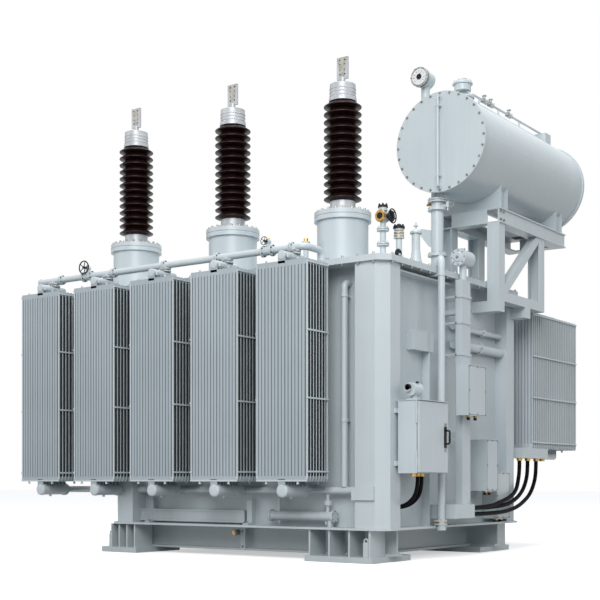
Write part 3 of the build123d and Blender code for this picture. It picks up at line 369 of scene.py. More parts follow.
def centre_of(node):
    """Middle of a CAD node seen from above, half its width and its top: x, y, reach, z."""
    low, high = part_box(node)
    return (low.x + high.x) / 2, (low.y + high.y) / 2, (high.x - low.x) / 2, high.z


def dress_frame():
    """Every CAD node gets the detailed material of its slot, and smooth shading across its round faces."""
    for part in frame["record"]["subparts"]:
        node = frame["nodes"][part["node"]]
        node.data.materials.clear()
        node.data.materials.append(SLOT_MATERIALS[part["material_slot"]])
        if not node.data.has_custom_normals:
            node.data.shade_smooth()
            node.data.set_sharp_from_angle(angle=SMOOTH_ANGLE)


# Mesh helpers

def meshes(count):
    """New meshes in the making."""
    return [bmesh.new() for _ in range(count)]


def frame_of(axis):
    """Rotation that turns +Z to an axis."""
    return Vector(UP).rotation_difference(Vector(axis)).to_matrix().to_4x4()


def cylinder(mesh, base, axis, radius, height, sides=24, top=None):
    """Closed round or many-sided bar from a base point along an axis, top radius optional."""
    turn = Matrix.Translation(Vector(base)) @ frame_of(axis) @ Matrix.Translation((0, 0, height / 2))
    bmesh.ops.create_cone(
        mesh, cap_ends=True, segments=sides, radius1=radius, radius2=radius if top is None else top,
        depth=height, matrix=turn,
    )


def block(mesh, low, high):
    """Box between two corners."""
    middle = (Vector(low) + Vector(high)) / 2
    size = Vector(high) - Vector(low)
    bmesh.ops.create_cube(mesh, size=1, matrix=Matrix.Translation(middle) @ Matrix.Diagonal((*size, 1)))


def strips(mesh, low, high, width):
    """Four strips that frame a rectangle across X, between two corners."""
    (back, left, bottom), (face, right, top) = low, high
    block(mesh, low, (face, left + width, top))
    block(mesh, (back, right - width, bottom), high)
    block(mesh, low, (face, right, bottom + width))
    block(mesh, (back, left, top - width), high)


def bolt(mesh, place, axis, radius):
    """Hexagon head on a washer, with the thread's end standing out."""
    axis = Vector(axis).normalized()
    place = Vector(place)
    washer = radius * 0.22
    head = radius * 2 * BOLT_HEAD_SHARE
    cylinder(mesh, place, axis, radius * WASHER_SHARE, washer, 12)
    cylinder(mesh, place + axis * washer, axis, radius, head, HEX_SIDES, radius * 0.96)
    cylinder(mesh, place + axis * (washer + head), axis, radius * 0.5, radius * 0.35, 8, radius * 0.42)


def ring(mesh, centre, axis, radius, section, sides=28, round_sides=8):
    """Round ring with a round section."""
    turn = Matrix.Translation(Vector(centre)) @ frame_of(axis)
    rows = []
    for step in range(sides):
        angle = 2 * pi * step / sides
        row = []
        for part in range(round_sides):
            bend = 2 * pi * part / round_sides
            reach = radius + section * cos(bend)
            row.append(mesh.verts.new(turn @ Vector((reach * cos(angle), reach * sin(angle), section * sin(bend)))))
        rows.append(row)
    for step in range(sides):
        here, after = rows[step], rows[(step + 1) % sides]
        for part in range(round_sides):
            then = (part + 1) % round_sides
            mesh.faces.new((here[part], after[part], after[then], here[then]))


def circle_points(centre, axis, radius, count, start=0.0):
    """Points on a circle round an axis."""
    turn = frame_of(axis)
    angles = [start + 2 * pi * k / count for k in range(count)]
    return [Vector(centre) + turn @ Vector((radius * cos(angle), radius * sin(angle), 0)) for angle in angles]


def bolt_circle(mesh, centre, axis, reach, count, radius, start=0.0):
    """Bolts on a circle round their axis."""
    for spot in circle_points(centre, axis, reach, count, start):
        bolt(mesh, spot, axis, radius)


def nut(mesh, base, axis, radius, height):
    """Plain hexagon."""
    cylinder(mesh, base, axis, radius, height, HEX_SIDES)


def nut_circle(mesh, centre, axis, reach, count, radius, height):
    """Plain hexagons on a circle round their axis."""
    for spot in circle_points(centre, axis, reach, count):
        nut(mesh, spot, axis, radius, height)


def raised(point, lift):
    """Point above another, or below it."""
    return point + Vector((0, 0, lift))


def piece(mesh, name, material, body=MAIN, edge=0.0):
    """Turn a mesh in the making into a piece that rides on a body, with a small bevel where asked."""
    data = bpy.data.meshes.new(name)
    bmesh.ops.recalc_face_normals(mesh, faces=mesh.faces)
    mesh.to_mesh(data)
    mesh.free()
    data.shade_smooth()
    data.set_sharp_from_angle(angle=SMOOTH_ANGLE)
    thing = new_object(name, data)
    data.materials.append(material)
    if edge:
        bevel = thing.modifiers.new("edges", "BEVEL")
        bevel.width = edge
        bevel.segments = 2
        bevel.limit_method = "ANGLE"
    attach(thing, body)
    return thing


def handwheel(mesh, centre, axis, radius, spokes=5):
    """Wheel with a hub and spokes."""
    ring(mesh, centre, axis, radius, radius * 0.1)
    turn = frame_of(axis)
    for k in range(spokes):
        out = turn @ Vector((cos(2 * pi * k / spokes), sin(2 * pi * k / spokes), 0))
        cylinder(mesh, centre, out, radius * 0.07, radius, 8)
    cylinder(mesh, Vector(centre) - Vector(axis) * radius * 0.16, axis, radius * 0.2, radius * 0.32, 16)


# Cords

# Routes, from the end plane and the front plane of the columns, in millimetres as in the part
CORD_ROUTES = {
    "conduit_1": ((140, 291, 712), (140, 291, 596), (74, 288, 499), (-34, 285, 455), (-110, 285, 455)),
    "conduit_2": ((140, 357, 712), (140, 357, 596), (74, 354, 499), (-34, 351, 455), (-110, 351, 455)),
    "cable_1": (
        (0, 2537, 874), (0, 2537, 774), (6, 2496, 680), (33, 2398, 594),
        (78, 2203, 532), (106, 1927, 483), (135, 1589, 437), (135, 1250, 437),
    ),
    "cable_2": (
        (0, 2725, 874), (0, 2725, 770), (2, 2682, 668), (12, 2575, 572),
        (45, 2370, 503), (84, 2090, 452), (76, 1745, 432), (80, 1500, 433), (80, 1250, 433),
    ),
    "cable_3": (
        (0, 2925, 874), (0, 2925, 765), (2, 2880, 655), (10, 2760, 540),
        (45, 2520, 466), (90, 2240, 412), (108, 1920, 384), (110, 1560, 378), (110, 1250, 378),
    ),
}
CABLE_RADIUS = 0.019
CONDUIT_RADIUS = 0.016


def cords():
    """Conduits under the cabinet and the cables from the gland box, as smooth splines."""
    for name, route in CORD_ROUTES.items():
        radius = CABLE_RADIUS if name.startswith("cable") else CONDUIT_RADIUS
        data = bpy.data.curves.new(name + "_cord", "CURVE")
        data.dimensions = "3D"
        data.bevel_depth = radius
        data.bevel_resolution = 4
        data.resolution_u = 16
        data.use_fill_caps = True
        spline = data.splines.new("NURBS")
        spline.points.add(len(route) - 1)
        points = [(END_X + x / 1000, FRONT_Y + y / 1000, z / 1000) for x, y, z in route]
        for point, place in zip(spline.points, points):
            point.co = (*place, 1)
        spline.order_u = 3
        spline.use_endpoint_u = True
        line = new_object(name + "_cord", data)
        data.materials.append(RUBBER)
        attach(line, MAIN)
        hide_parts(name)


# Details

def conservator_details():
    """Rim bolts at both ends of the conservator."""
    low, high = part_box("conservator_end_front")
    centre = (low + high) / 2
    reach = (high.x - low.x) / 2 - 0.018
    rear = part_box("conservator_end_rear")[1].y
    mesh = bmesh.new()
    bolt_circle(mesh, (centre.x, low.y, centre.z), FRONT, reach, 28, 0.009)
    bolt_circle(mesh, (centre.x, rear, centre.z), BACK, reach, 28, 0.009)
    piece(mesh, "conservator_bolts", ZINC)


def dome_details():
    """Neck, bolted lid and bow on the filler dome, and the thin pipe with its valves along the shell's top."""
    x, dome_y, _, top = centre_of("filler_dome")
    mesh, bolts = meshes(2)
    cylinder(mesh, (x, dome_y, top - 0.004), UP, 0.078, 0.062, 40)
    cylinder(mesh, (x, dome_y, top + 0.056), UP, 0.094, 0.012, 40)
    cylinder(mesh, (x, dome_y, top + 0.068), UP, 0.092, 0.014, 40, 0.088)
    bolt_circle(bolts, (x, dome_y, top + 0.082), UP, 0.078, 8, 0.007)
    foot, half, wire, steps = top + 0.080, 0.055, 0.006, 10
    for side in (-1, 1):
        cylinder(mesh, (x + side * half, dome_y, foot), UP, wire, 0.022, 10)
    angles = [pi * k / steps for k in range(steps + 1)]
    bow = [Vector((x + half * cos(angle), dome_y, foot + 0.018 + 0.020 * sin(angle))) for angle in angles]
    for here, after in zip(bow, bow[1:]):
        cylinder(mesh, here, after - here, wire, (after - here).length * 1.08, 10)
    low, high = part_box("breather_pipe")
    x, start, z, shell = END_X - 0.090, dome_y + 0.100, 4.262, 4.150
    cylinder(mesh, (x, start, z), BACK, 0.011, high.y - 0.16 - dome_y, 16)
    cylinder(mesh, (x, start, z), LEFT, 0.011, 0.05, 16)
    for share in (0.10, 0.36, 0.66, 0.97):
        y = low.y + (high.y - 0.09 - low.y) * share
        cylinder(mesh, (x, y, shell), UP, 0.009, z - shell, 12)
    for share in (0.16, 0.24, 0.48):
        y = low.y + (high.y - low.y) * share
        cylinder(mesh, (x, y - 0.03, z), BACK, 0.024, 0.06, 20)
        cylinder(mesh, (x, y, z), UP, 0.012, 0.045, 12)
        cylinder(bolts, (x, y, z + 0.045), UP, 0.022, 0.010, 12, 0.018)
        for step in (-0.033, 0.027):
            nut(bolts, (x, y + step, z), BACK, 0.028, 0.006)
    piece(mesh, "dome_neck_and_top_pipe", TANK_PAINT, edge=0.0012)
    piece(bolts, "dome_bolts", ZINC)


def bushing_collars():
    """Dark joint under each cap, ribs and bolts on it, brass on the stem, and the palm's metal, with dark discs on it
    as painted shade in its holes.
    """
    dark, brass, ribs = meshes(3)
    for index in BUSHINGS:
        x, y, _, top = centre_of(f"insulator_{index}")
        cylinder(dark, (x, y, top - 0.020), UP, 0.118, 0.022, 48)
        for lift in (0.045, 0.075, 0.105):
            ring(ribs, (x, y, top + lift), UP, 0.114, 0.004, 56, 6)
        bolt_circle(ribs, (x, y, top + 0.024), UP, 0.1165, 12, 0.006)
        cylinder(brass, (x, y, top + 0.150), UP, 0.042, 0.014, 32)
        nut(brass, (x, y, top + 0.164), UP, 0.034, 0.012)
        palm, palm_middle, palm_half = top + 0.232, top + 0.3075, 0.0088
        node = frame["nodes"][f"bushing_fittings_{index}"]
        node.data.materials.append(PALM)
        for face in node.data.polygons:
            if all((node.matrix_world @ node.data.vertices[k].co).z > palm - 0.02 for k in face.vertices):
                face.material_index = 1
        # Dark discs on both faces of the palm: painted shade in its holes
        for across in (-0.025, 0.025):
            for up in (-0.062, 0.062):
                for side in (-1, 1):
                    spot = (x + across, y + side * palm_half, palm_middle + up)
                    cylinder(dark, spot, (0, side, 0), 0.007, 0.001, 14)
    piece(dark, "bushing_joints_and_hole_shade", RUBBER, edge=0.001)
    piece(ribs, "bushing_cap_ribs", SILVER)
    piece(brass, "bushing_brass", BRASS)


def shed_rim_highlights():
    """Thin ring of lighter red-brown glaze at the edge of each shed, as a painted highlight."""
    shed_gap, edge_depth = 0.015, 0.0012
    mesh = bmesh.new()
    for index in BUSHINGS:
        node = frame["nodes"][f"insulator_{index}"]
        x, y, reach, _ = centre_of(f"insulator_{index}")
        levels = []
        for z in sorted(
            corner.z for corner in (node.matrix_world @ vertex.co for vertex in node.data.vertices)
            if (corner.x - x) ** 2 + (corner.y - y) ** 2 > (reach - edge_depth) ** 2
        ):
            if not levels or z - levels[-1] > shed_gap:
                levels.append(z)
        for z in levels:
            ring(mesh, (x, y, z), UP, reach - 0.0025, 0.0022, 64, 6)
    piece(mesh, "shed_rim_highlights", RIM_HIGHLIGHT)


def beam_flanges():
    """Flanges of the rolled beams that carry the conservator."""
    low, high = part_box("frame_beams")
    inward, outward, thick, lap = 0.050, 0.014, 0.012, 0.002
    mesh = bmesh.new()
    for left, right in ((high.x - inward, high.x + outward), (low.x - outward, low.x + inward)):
        for z in (low.z - lap, high.z - 0.010):
            block(mesh, (left, low.y - lap, z), (right, high.y + lap, z + thick))
    piece(mesh, "beam_flanges", TANK_PAINT, edge=0.001)


def column_caps():
    """Fills the gap between the column tops and the cover with the columns' own outline."""
    node = frame["nodes"]["corner_columns"]
    top = COLUMNS[1].z
    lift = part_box("tank_flange")[0].z - top
    mesh = bmesh.new()
    for face in node.data.polygons:
        corners = [node.matrix_world @ node.data.vertices[k].co for k in face.vertices]
        if all(abs(corner.z - top) < 0.0005 for corner in corners):
            mesh.faces.new([mesh.verts.new(corner) for corner in corners])
    bmesh.ops.remove_doubles(mesh, verts=mesh.verts, dist=0.0002)
    grown = bmesh.ops.extrude_face_region(mesh, geom=list(mesh.faces), use_keep_orig=True)
    heads = [item for item in grown["geom"] if isinstance(item, bmesh.types.BMVert)]
    bmesh.ops.translate(mesh, verts=heads, vec=(0, 0, lift))
    piece(mesh, "column_heads", TANK_PAINT)


def pipe_valves():
    """Flanged valves with handwheels on the upper collector, and flange pairs along it."""
    low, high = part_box("upper_pipe")
    y, z = low.y + COLLECTOR_INSET, high.z - 0.035
    stem = z + 0.078
    mesh, metal, brass = meshes(3)
    for x, wheel in COLLECTOR_VALVES:
        for step in (-0.055, 0.040):
            cylinder(mesh, (x + step, y, z), RIGHT, 0.050, 0.015, 32)
            nut_circle(metal, (x + step + 0.015, y, z), RIGHT, 0.041, 6, 0.0055, 0.007)
        cylinder(mesh, (x - 0.04, y, z), RIGHT, 0.038, 0.08, 32)
        cylinder(mesh, (x, y, z), UP, 0.020, 0.062, 20)
        cylinder(mesh, (x, y - 0.020, stem), BACK, 0.022, 0.040, 20)
        cylinder(metal, (x, y, stem), FRONT, 0.008, 0.058, 12)
        handwheel(metal, (x, y - 0.055, stem), FRONT, wheel)
        nut(brass, (x, y, z + 0.098), UP, 0.013, 0.012)
    for x in COLLECTOR_JOINTS:
        for step in (-0.016, 0.002):
            cylinder(mesh, (x + step, y, z), RIGHT, 0.046, 0.013, 32)
        nut_circle(metal, (x + 0.015, y, z), RIGHT, 0.038, 6, 0.005, 0.006)
    piece(mesh, "collector_valves", TANK_PAINT, edge=0.001)
    piece(metal, "collector_wheels", PLASTIC)
    piece(brass, "collector_brass", BRASS)


def turret_details():
    """Bolts round each turret flange, and round each bushing's foot."""
    mesh, foot = meshes(2)
    for index in BUSHINGS:
        x, y, reach, top = centre_of(f"turret_{index}")
        bolt_circle(mesh, (x, y, top), UP, reach - 0.022, 20, 0.012)
        _, _, reach, _ = centre_of(f"bushing_fittings_{index}")
        bolt_circle(foot, (x, y, top + 0.030), UP, reach - 0.018, 12, 0.009)
    piece(mesh, "turret_bolts", ZINC)
    piece(foot, "bushing_foot_bolts", ZINC)


def cover_bolts():
    """Bolts along the cover's edge, heads above and nuts below."""
    low, high = COVER
    flange_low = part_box("tank_flange")[0].z
    inset, corner, pitch, radius = 0.014, 0.125, 0.145, 0.011
    mesh = bmesh.new()
    for axis in (0, 1):
        run = high[axis] - low[axis] - 2 * corner
        count = int(run / pitch)
        for k in range(count + 1):
            along = low[axis] + corner + run * k / count
            for across in (low[1 - axis] + inset, high[1 - axis] - inset):
                x, y = (along, across) if axis == 0 else (across, along)
                bolt(mesh, (x, y, high.z), UP, radius)
                bolt(mesh, (x, y, flange_low), DOWN, radius)
    piece(mesh, "cover_bolts", ZINC)


def upper_valves():
    """Butterfly valve over each front radiator: two flanges with bolts, and a lever."""
    mesh, levers = meshes(2)
    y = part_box("upper_pipe")[0].y + COLLECTOR_INSET
    for index in FRONT_RADIATORS:
        x, _, _, top = centre_of(f"front_radiator_{index}")
        for z in (top - 0.004, top + 0.018):
            cylinder(mesh, (x, y, z), UP, 0.052, 0.011, 28)
        bolt_circle(mesh, (x, y, top + 0.029), UP, 0.043, 6, 0.006)
        cylinder(levers, (x, y - 0.05, top + 0.012), FRONT, 0.007, 0.03, 12)
        block(levers, (x - 0.006, y - 0.082, top + 0.004), (x + 0.065, y - 0.076, top + 0.020))
    piece(mesh, "upper_valve_flanges", TANK_PAINT, edge=0.002)
    piece(levers, "upper_valve_levers", ZINC, edge=0.001)


def fluted_panel(mesh, left, middle_y, bottom, top, dark):
    """Pressed panel: two sheets with hemmed edges lighter as a painted highlight, deep and shallow flutes by turns, the
    grooves darker as painted shade with some dirt, the flutes of inner panels darker as painted shade.
    """
    pitch = (PANEL_WIDTH - 2 * PANEL_EDGE) / FLUTES
    hem = [(0.0, PANEL_HEM, 0), (HEM_WIDTH, PANEL_HEM, 0), (HEM_FOOT, PANEL_SEAM, 1)]
    profile = hem + [(PANEL_EDGE, PANEL_SEAM, 1)]
    for k in range(FLUTES):
        start = PANEL_EDGE + k * pitch
        crest = PANEL_CREST if k % 2 else PANEL_CREST * 0.82
        profile += [(start + pitch * 0.16, crest * 0.8, 0), (start + pitch * 0.30, crest, 0)]
        profile += [(start + pitch * 0.70, crest, 0), (start + pitch * 0.84, crest * 0.8, 1)]
        valley = PANEL_SEAM if k % 2 or k == FLUTES - 1 else PANEL_CREST * 0.45
        profile.append((start + pitch * 0.96, valley, 1))
    profile.append((PANEL_WIDTH - PANEL_EDGE * 0.9, PANEL_SEAM, 1))
    profile += [(PANEL_WIDTH - x, height, shaded_and_dirty) for x, height, shaded_and_dirty in hem[::-1]]
    rows = (
        (bottom, PANEL_SHOULDER, 0.0), (bottom + END_HEM, 0.0, 0.0), (bottom + FLUTE_END, 0.0, 1.0),
        (top - FLUTE_END, 0.0, 1.0), (top - END_HEM, 0.0, 0.0), (top, PANEL_SHOULDER, 0.0),
    )
    loops = []
    for z, inset, share in rows:
        shrink = 1 - 2 * inset / PANEL_WIDTH
        around = []
        for side, points in ((-1, profile), (1, profile[::-1])):
            for x, height, _ in points:
                depth = PANEL_HEM + (height - PANEL_HEM) * share
                place = left + PANEL_WIDTH / 2 + (x - PANEL_WIDTH / 2) * shrink
                around.append(mesh.verts.new((place, middle_y + side * depth, z)))
        loops.append(around)
    shade = [shaded_and_dirty for _, _, shaded_and_dirty in profile[:-1]]
    shade = shade + [0] + shade[::-1] + [0]
    count = len(loops[0])
    half = count // 2
    for row, (lower, upper) in enumerate(zip(loops, loops[1:])):
        fluted = row == 2
        for k in range(count):
            after, part = (k + 1) % count, k % half
            face = mesh.faces.new((lower[k], lower[after], upper[after], upper[k]))
            # Hems and some outer faces take the painted highlight, inner panels' flutes the painted shade, grooves the
            # painted shade with some dirt
            pale = 0 < row < 4 and (part == half - 1 or not dark and part in (0, half - 2))
            groove = GROOVE_SHADE_AND_DIRT if fluted and shade[k] else PAINT
            face.material_index = EDGE_HIGHLIGHT if pale else INNER_SHADE if dark and fluted else groove
    mesh.faces.new(loops[0][::-1])
    mesh.faces.new(loops[-1])


def radiator_pack(panels, fittings, left, first_y, rows, pitch, bottom, top, lower_z, upper_z, shaded):
    """Panels, with their necks and the tie bars down both sides."""
    centre = left + PANEL_WIDTH / 2
    depth = (rows - 1) * pitch + PANEL_THICK
    step = (depth - 2 * PANEL_CREST) / (rows - 1)
    for k in range(rows):
        y = first_y + PANEL_CREST + k * step
        fluted_panel(panels, left, y, bottom, top, shaded and 0 < k < rows - 1)
        for z, far in ((bottom + 0.03, lower_z), (top - 0.03, upper_z)):
            low, high = min(z, far), max(z, far)
            block(panels, (centre - 0.036, y - 0.0055, low), (centre + 0.036, y + 0.0055, high))
        if k % 7 == 0:
            for x in (left + 0.10, left + PANEL_WIDTH - 0.10):
                cylinder(fittings, (x, y, bottom), DOWN, 0.009, 0.016, 12)
                nut(fittings, (x, y, bottom - 0.014), DOWN, 0.013, 0.008)
                cylinder(fittings, (x, y, top), UP, 0.009, 0.016, 12)
    near, far = first_y + 0.0005, first_y + depth - 0.0005
    for x in (left, left + PANEL_WIDTH):
        for share in TIE_SHARES:
            z = bottom + (top - bottom) * share
            block(fittings, (x - TIE_HALF, near, z - TIE_HALF), (x + TIE_HALF, far, z + TIE_HALF))


def front_radiators():
    """Front bank: fluted panels, domed header ends with a flange, valve body and drain plug."""
    foot, lower_z, upper_z = FRONT_PACK["bottom"], FRONT_PACK["lower_z"], FRONT_PACK["upper_z"]
    for index in FRONT_RADIATORS:
        node = f"front_radiator_{index}"
        low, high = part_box(node)
        left, first_y = low.x + 0.007, low.y + 0.004
        centre = left + PANEL_WIDTH / 2
        panels, fittings = meshes(2)
        radiator_pack(panels, fittings, left, first_y, **FRONT_PACK, shaded=True)
        cylinder(fittings, (centre, first_y + 0.010, lower_z), BACK, 0.053, high.y - first_y - 0.010, 36)
        cylinder(fittings, (centre, first_y + 0.030, lower_z), FRONT, 0.0575, 0.022, 36, 0.055)
        cylinder(fittings, (centre, first_y + 0.008, lower_z), FRONT, 0.055, 0.008, 36, 0.042)
        cylinder(fittings, (centre, first_y, lower_z), FRONT, 0.042, 0.0035, 36, 0.018)
        block(fittings, (left, first_y - 0.001, foot), (left + PANEL_WIDTH, first_y + 0.004, foot + 0.014))
        for y in (0.300, 0.320):
            cylinder(fittings, (centre, first_y + y, lower_z), BACK, 0.0585, 0.012, 36)
        nut(fittings, (centre, first_y + 0.135, lower_z - 0.0525), DOWN, 0.013, 0.016)
        cylinder(fittings, (centre, first_y, upper_z), BACK, 0.037, 0.306, 32)
        cylinder(fittings, (centre, first_y, upper_z), FRONT, 0.037, 0.003, 32, 0.028)
        nut(fittings, (centre + 0.06, first_y + 0.012, upper_z - 0.025), UP, 0.010, 0.03)
        # The front panels take the darker paint, as painted shade among the flutes
        faces = piece(panels, f"fluted_radiator_{index}", SHADED_RADIATOR_PAINT)
        # Copies of the paint: darker as painted shade with some dirt in the grooves, darker as painted shade between
        # the panels, lighter as a painted highlight on the hems
        for shade in (GROOVE_SHADE_AND_DIRT_PAINT, INNER_SHADE_PAINT, EDGE_HIGHLIGHT_PAINT):
            faces.data.materials.append(shade)
        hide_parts(node)
        piece(fittings, f"radiator_headers_{index}", TANK_PAINT, edge=0.0012)


def rear_radiator_packs():
    """Rear bank: four packs of many panels."""
    low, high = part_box("rear_radiators")
    panels, fittings = meshes(2)
    for k in range(REAR_PACKS):
        left = high.x - 0.007 - PANEL_WIDTH - REAR_SPACING * k
        centre = left + PANEL_WIDTH / 2
        radiator_pack(panels, fittings, left, low.y + 0.020, **REAR_PACK, shaded=False)
        for z in (REAR_PACK["lower_z"], REAR_PACK["upper_z"]):
            cylinder(fittings, (centre, low.y, z), BACK, 0.0375, high.y - low.y - 0.006, 32)
            cylinder(fittings, (centre, high.y - 0.006, z), BACK, 0.0375, 0.006, 32, 0.026)
    faces = piece(panels, "fluted_rear_radiators", REAR_PAINT)
    # Copies of the paint: darker as painted shade with some dirt in the grooves, darker as painted shade between the
    # panels, lighter as a painted highlight on the hems
    for shade in (REAR_GROOVE_SHADE_AND_DIRT, REAR_INNER_SHADE, EDGE_HIGHLIGHT_PAINT):
        faces.data.materials.append(shade)
    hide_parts("rear_radiators")
    piece(fittings, "rear_radiator_headers", TANK_PAINT, edge=0.0012)


def gauge_details():
    """Dial of the oil level gauge: rim, white face, needle and plain marks."""
    low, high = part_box("level_gauge")
    reach = (high.x - low.x) / 2
    centre = Vector(((low.x + high.x) / 2, low.y, high.z - reach))
    mark_count, first_angle, sweep = 9, -40, 260
    face, rim, marks = meshes(3)
    cylinder(face, centre, FRONT, reach - 0.016, 0.003, 40)
    piece(face, "gauge_face", DIAL)
    cylinder(rim, centre + Vector((0, 0.020, 0)), BACK, reach, 0.012, 40)
    ring(rim, centre, FRONT, reach - 0.008, 0.006, 40)
    for spot in circle_points(centre, FRONT, reach - 0.006, 6):
        bolt(rim, spot + Vector((0, -0.004, 0)), FRONT, 0.005)
    piece(rim, "gauge_rim", ZINC)
    for k in range(mark_count):
        angle = radians(first_angle + sweep * k / (mark_count - 1))
        out = Vector((cos(angle), 0, sin(angle)))
        cylinder(marks, centre + out * (reach * 0.52) + Vector((0, -0.003, 0)), out, 0.0018, reach * 0.14, 6)
    needle = Vector((cos(radians(70)), 0, sin(radians(70))))
    cylinder(marks, centre + Vector((0, -0.006, 0)) - needle * reach * 0.15, needle, 0.003, reach * 0.65, 8, 0.001)
    cylinder(marks, centre, FRONT, 0.026, 0.005, 24)
    piece(marks, "gauge_marks", PLASTIC)


def sight_pipe():
    """Thin upright pipe down the near end plate, with its two ends and two clips."""
    low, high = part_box("conservator_end_front")
    centre = (low + high) / 2
    stand, reach = 0.045, (high.z - low.z) / 2 - 0.05
    x, y = centre.x, low.y - stand
    mesh = bmesh.new()
    cylinder(mesh, (x, y, centre.z - reach), UP, 0.012, 2 * reach, 20)
    for z in (centre.z - reach, centre.z + reach):
        cylinder(mesh, (x, y - 0.009, z), BACK, 0.011, stand + 0.009, 16)
        cylinder(mesh, (x, low.y - 0.006, z), BACK, 0.026, 0.008, 24)
    for share in (-0.78, 0.78):
        z = centre.z + reach * share
        block(mesh, (x - 0.018, y - 0.014, z - 0.007), (x + 0.018, low.y, z + 0.007))
    piece(mesh, "sight_pipe", TANK_PAINT, edge=0.0015)


def cover_fitting_details():
    """Valve head with a wheel, bolted cap and cone on the fittings that stand on the cover."""
    place = {name: Vector((END_X - x, FRONT_Y + y, z)) for name, (x, y, z) in COVER_FITTINGS.items()}
    pale, dark, brass, metal = meshes(4)
    spot = place["valve"]
    head = raised(spot, -0.062)
    for z in (2.655, 2.670, 2.780, 2.795):
        cylinder(pale, (spot.x, spot.y, z), UP, 0.052, 0.012, 32)
    for z in (2.682, 2.807):
        bolt_circle(metal, (spot.x, spot.y, z), UP, 0.042, 6, 0.006)
    cylinder(pale, head + Vector((0, 0.045, 0)), FRONT, 0.046, 0.088, 36)
    cylinder(brass, head + Vector((0, -0.043, 0)), FRONT, 0.052, 0.012, 36, 0.046)
    cylinder(dark, head + Vector((0, -0.055, 0)), FRONT, 0.028, 0.006, 28, 0.024)
    cylinder(dark, head + Vector((0.030, 0, 0)), RIGHT, 0.022, 0.045, 20)
    cylinder(dark, head + Vector((0.078, 0, -0.006)), RIGHT, 0.052, 0.012, 32, 0.046)
    handwheel(dark, head + Vector((0.094, 0, -0.006)), RIGHT, 0.058)
    cylinder(pale, raised(spot, -0.010), UP, 0.036, 0.024, 28)
    cylinder(dark, raised(spot, 0.014), UP, 0.044, 0.018, 28, 0.040)
    bolt_circle(dark, raised(spot, 0.032), UP, 0.034, 6, 0.008)
    spot = place["cap"]
    for lift in (-0.070, -0.046):
        cylinder(brass, raised(spot, lift), UP, 0.041, 0.009, 28)
    for lift in (-0.082, -0.060, -0.036):
        cylinder(pale, raised(spot, lift), UP, 0.045, 0.010, 28)
    cylinder(dark, spot, UP, 0.050, 0.020, 28)
    cylinder(dark, raised(spot, 0.020), UP, 0.026, 0.018, 24, 0.018)
    bolt_circle(dark, raised(spot, 0.020), UP, 0.038, 6, 0.009)
    ring(dark, (spot.x + 0.012, spot.y - 0.030, COVER[1].z + 0.075), RIGHT, 0.030, 0.016, 24, 10)
    spot = place["cone"]
    cylinder(pale, spot, UP, 0.046, 0.020, 28, 0.024)
    cylinder(pale, raised(spot, 0.020), UP, 0.007, 0.060, 12)
    cylinder(pale, raised(spot, 0.046), UP, 0.020, 0.008, 20)
    cylinder(pale, (spot.x, spot.y, COVER[1].z + 0.012), UP, 0.052, 0.110, 32, 0.037)
    nut_circle(brass, raised(spot, -0.012), DOWN, 0.043, 6, 0.006, 0.010)
    nut(brass, place["short"], UP, 0.018, 0.03)
    for name, radius in (("valve", 0.034), ("cap", 0.035), ("short", 0.031)):
        bolt_circle(metal, (place[name].x, place[name].y, COVER[1].z + 0.016), UP, radius, 4, 0.005, pi / 4)
    piece(pale, "cover_fitting_flanges", TANK_PAINT, edge=0.001)
    piece(dark, "cover_fitting_wheels", PLASTIC)
    piece(brass, "cover_fitting_brass", BRASS)
    piece(metal, "cover_fitting_bolts", ZINC)


def main_pipe_details():
    """Flange pair under the conservator, bracket with an eye, small valve, and flanges at the side pipe's foot."""
    x, y, reach, _ = centre_of("main_pipe")
    mesh, metal, brass = meshes(3)
    for z in (3.205, 3.223):
        cylinder(mesh, (x, y, z), UP, reach, 0.014, 40)
    bolt_circle(metal, (x, y, 3.237), UP, reach - 0.014, 8, 0.008)
    near = [mesh.verts.new((x + across, y - 0.005, z)) for across, z in BRACKET]
    far = [mesh.verts.new((x + across, y + 0.005, z)) for across, z in BRACKET]
    mesh.faces.new(near)
    mesh.faces.new(far[::-1])
    for k in range(len(BRACKET)):
        after = (k + 1) % len(BRACKET)
        mesh.faces.new((near[k], far[k], far[after], near[after]))
    ring(mesh, (x - 0.160, y, 2.962), BACK, 0.020, 0.007, 24, 8)
    nut(brass, (x - 0.050, y - 0.030, 3.190), LEFT, 0.012, 0.040)
    valve_y, valve_z = y - 0.010, 3.175
    cylinder(mesh, (x + 0.050, valve_y, 3.165), RIGHT, 0.016, 0.060, 20)
    cylinder(mesh, (x + 0.110, valve_y, 3.150), UP, 0.018, 0.050, 20)
    nut(metal, (x + 0.110, valve_y, 3.120), UP, 0.012, 0.030)
    handwheel(metal, (x + 0.155, valve_y, valve_z), RIGHT, 0.030)
    cylinder(metal, (x + 0.120, valve_y, valve_z), RIGHT, 0.006, 0.040, 10)
    low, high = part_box("side_pipe")
    x, y = high.x - 0.055, low.y + 0.055
    cylinder(mesh, (x, y, 0.296), UP, 0.057, 0.012, 32)
    cylinder(brass, (x, y, 0.312), UP, 0.050, 0.010, 32)
    cylinder(mesh, (x, y, 0.326), UP, 0.057, 0.012, 32)
    nut_circle(metal, (x, y, 0.338), UP, 0.048, 6, 0.006, 0.008)
    piece(mesh, "main_pipe_flanges", TANK_PAINT, edge=0.001)
    piece(metal, "main_pipe_bolts", ZINC)
    piece(brass, "main_pipe_brass", BRASS)


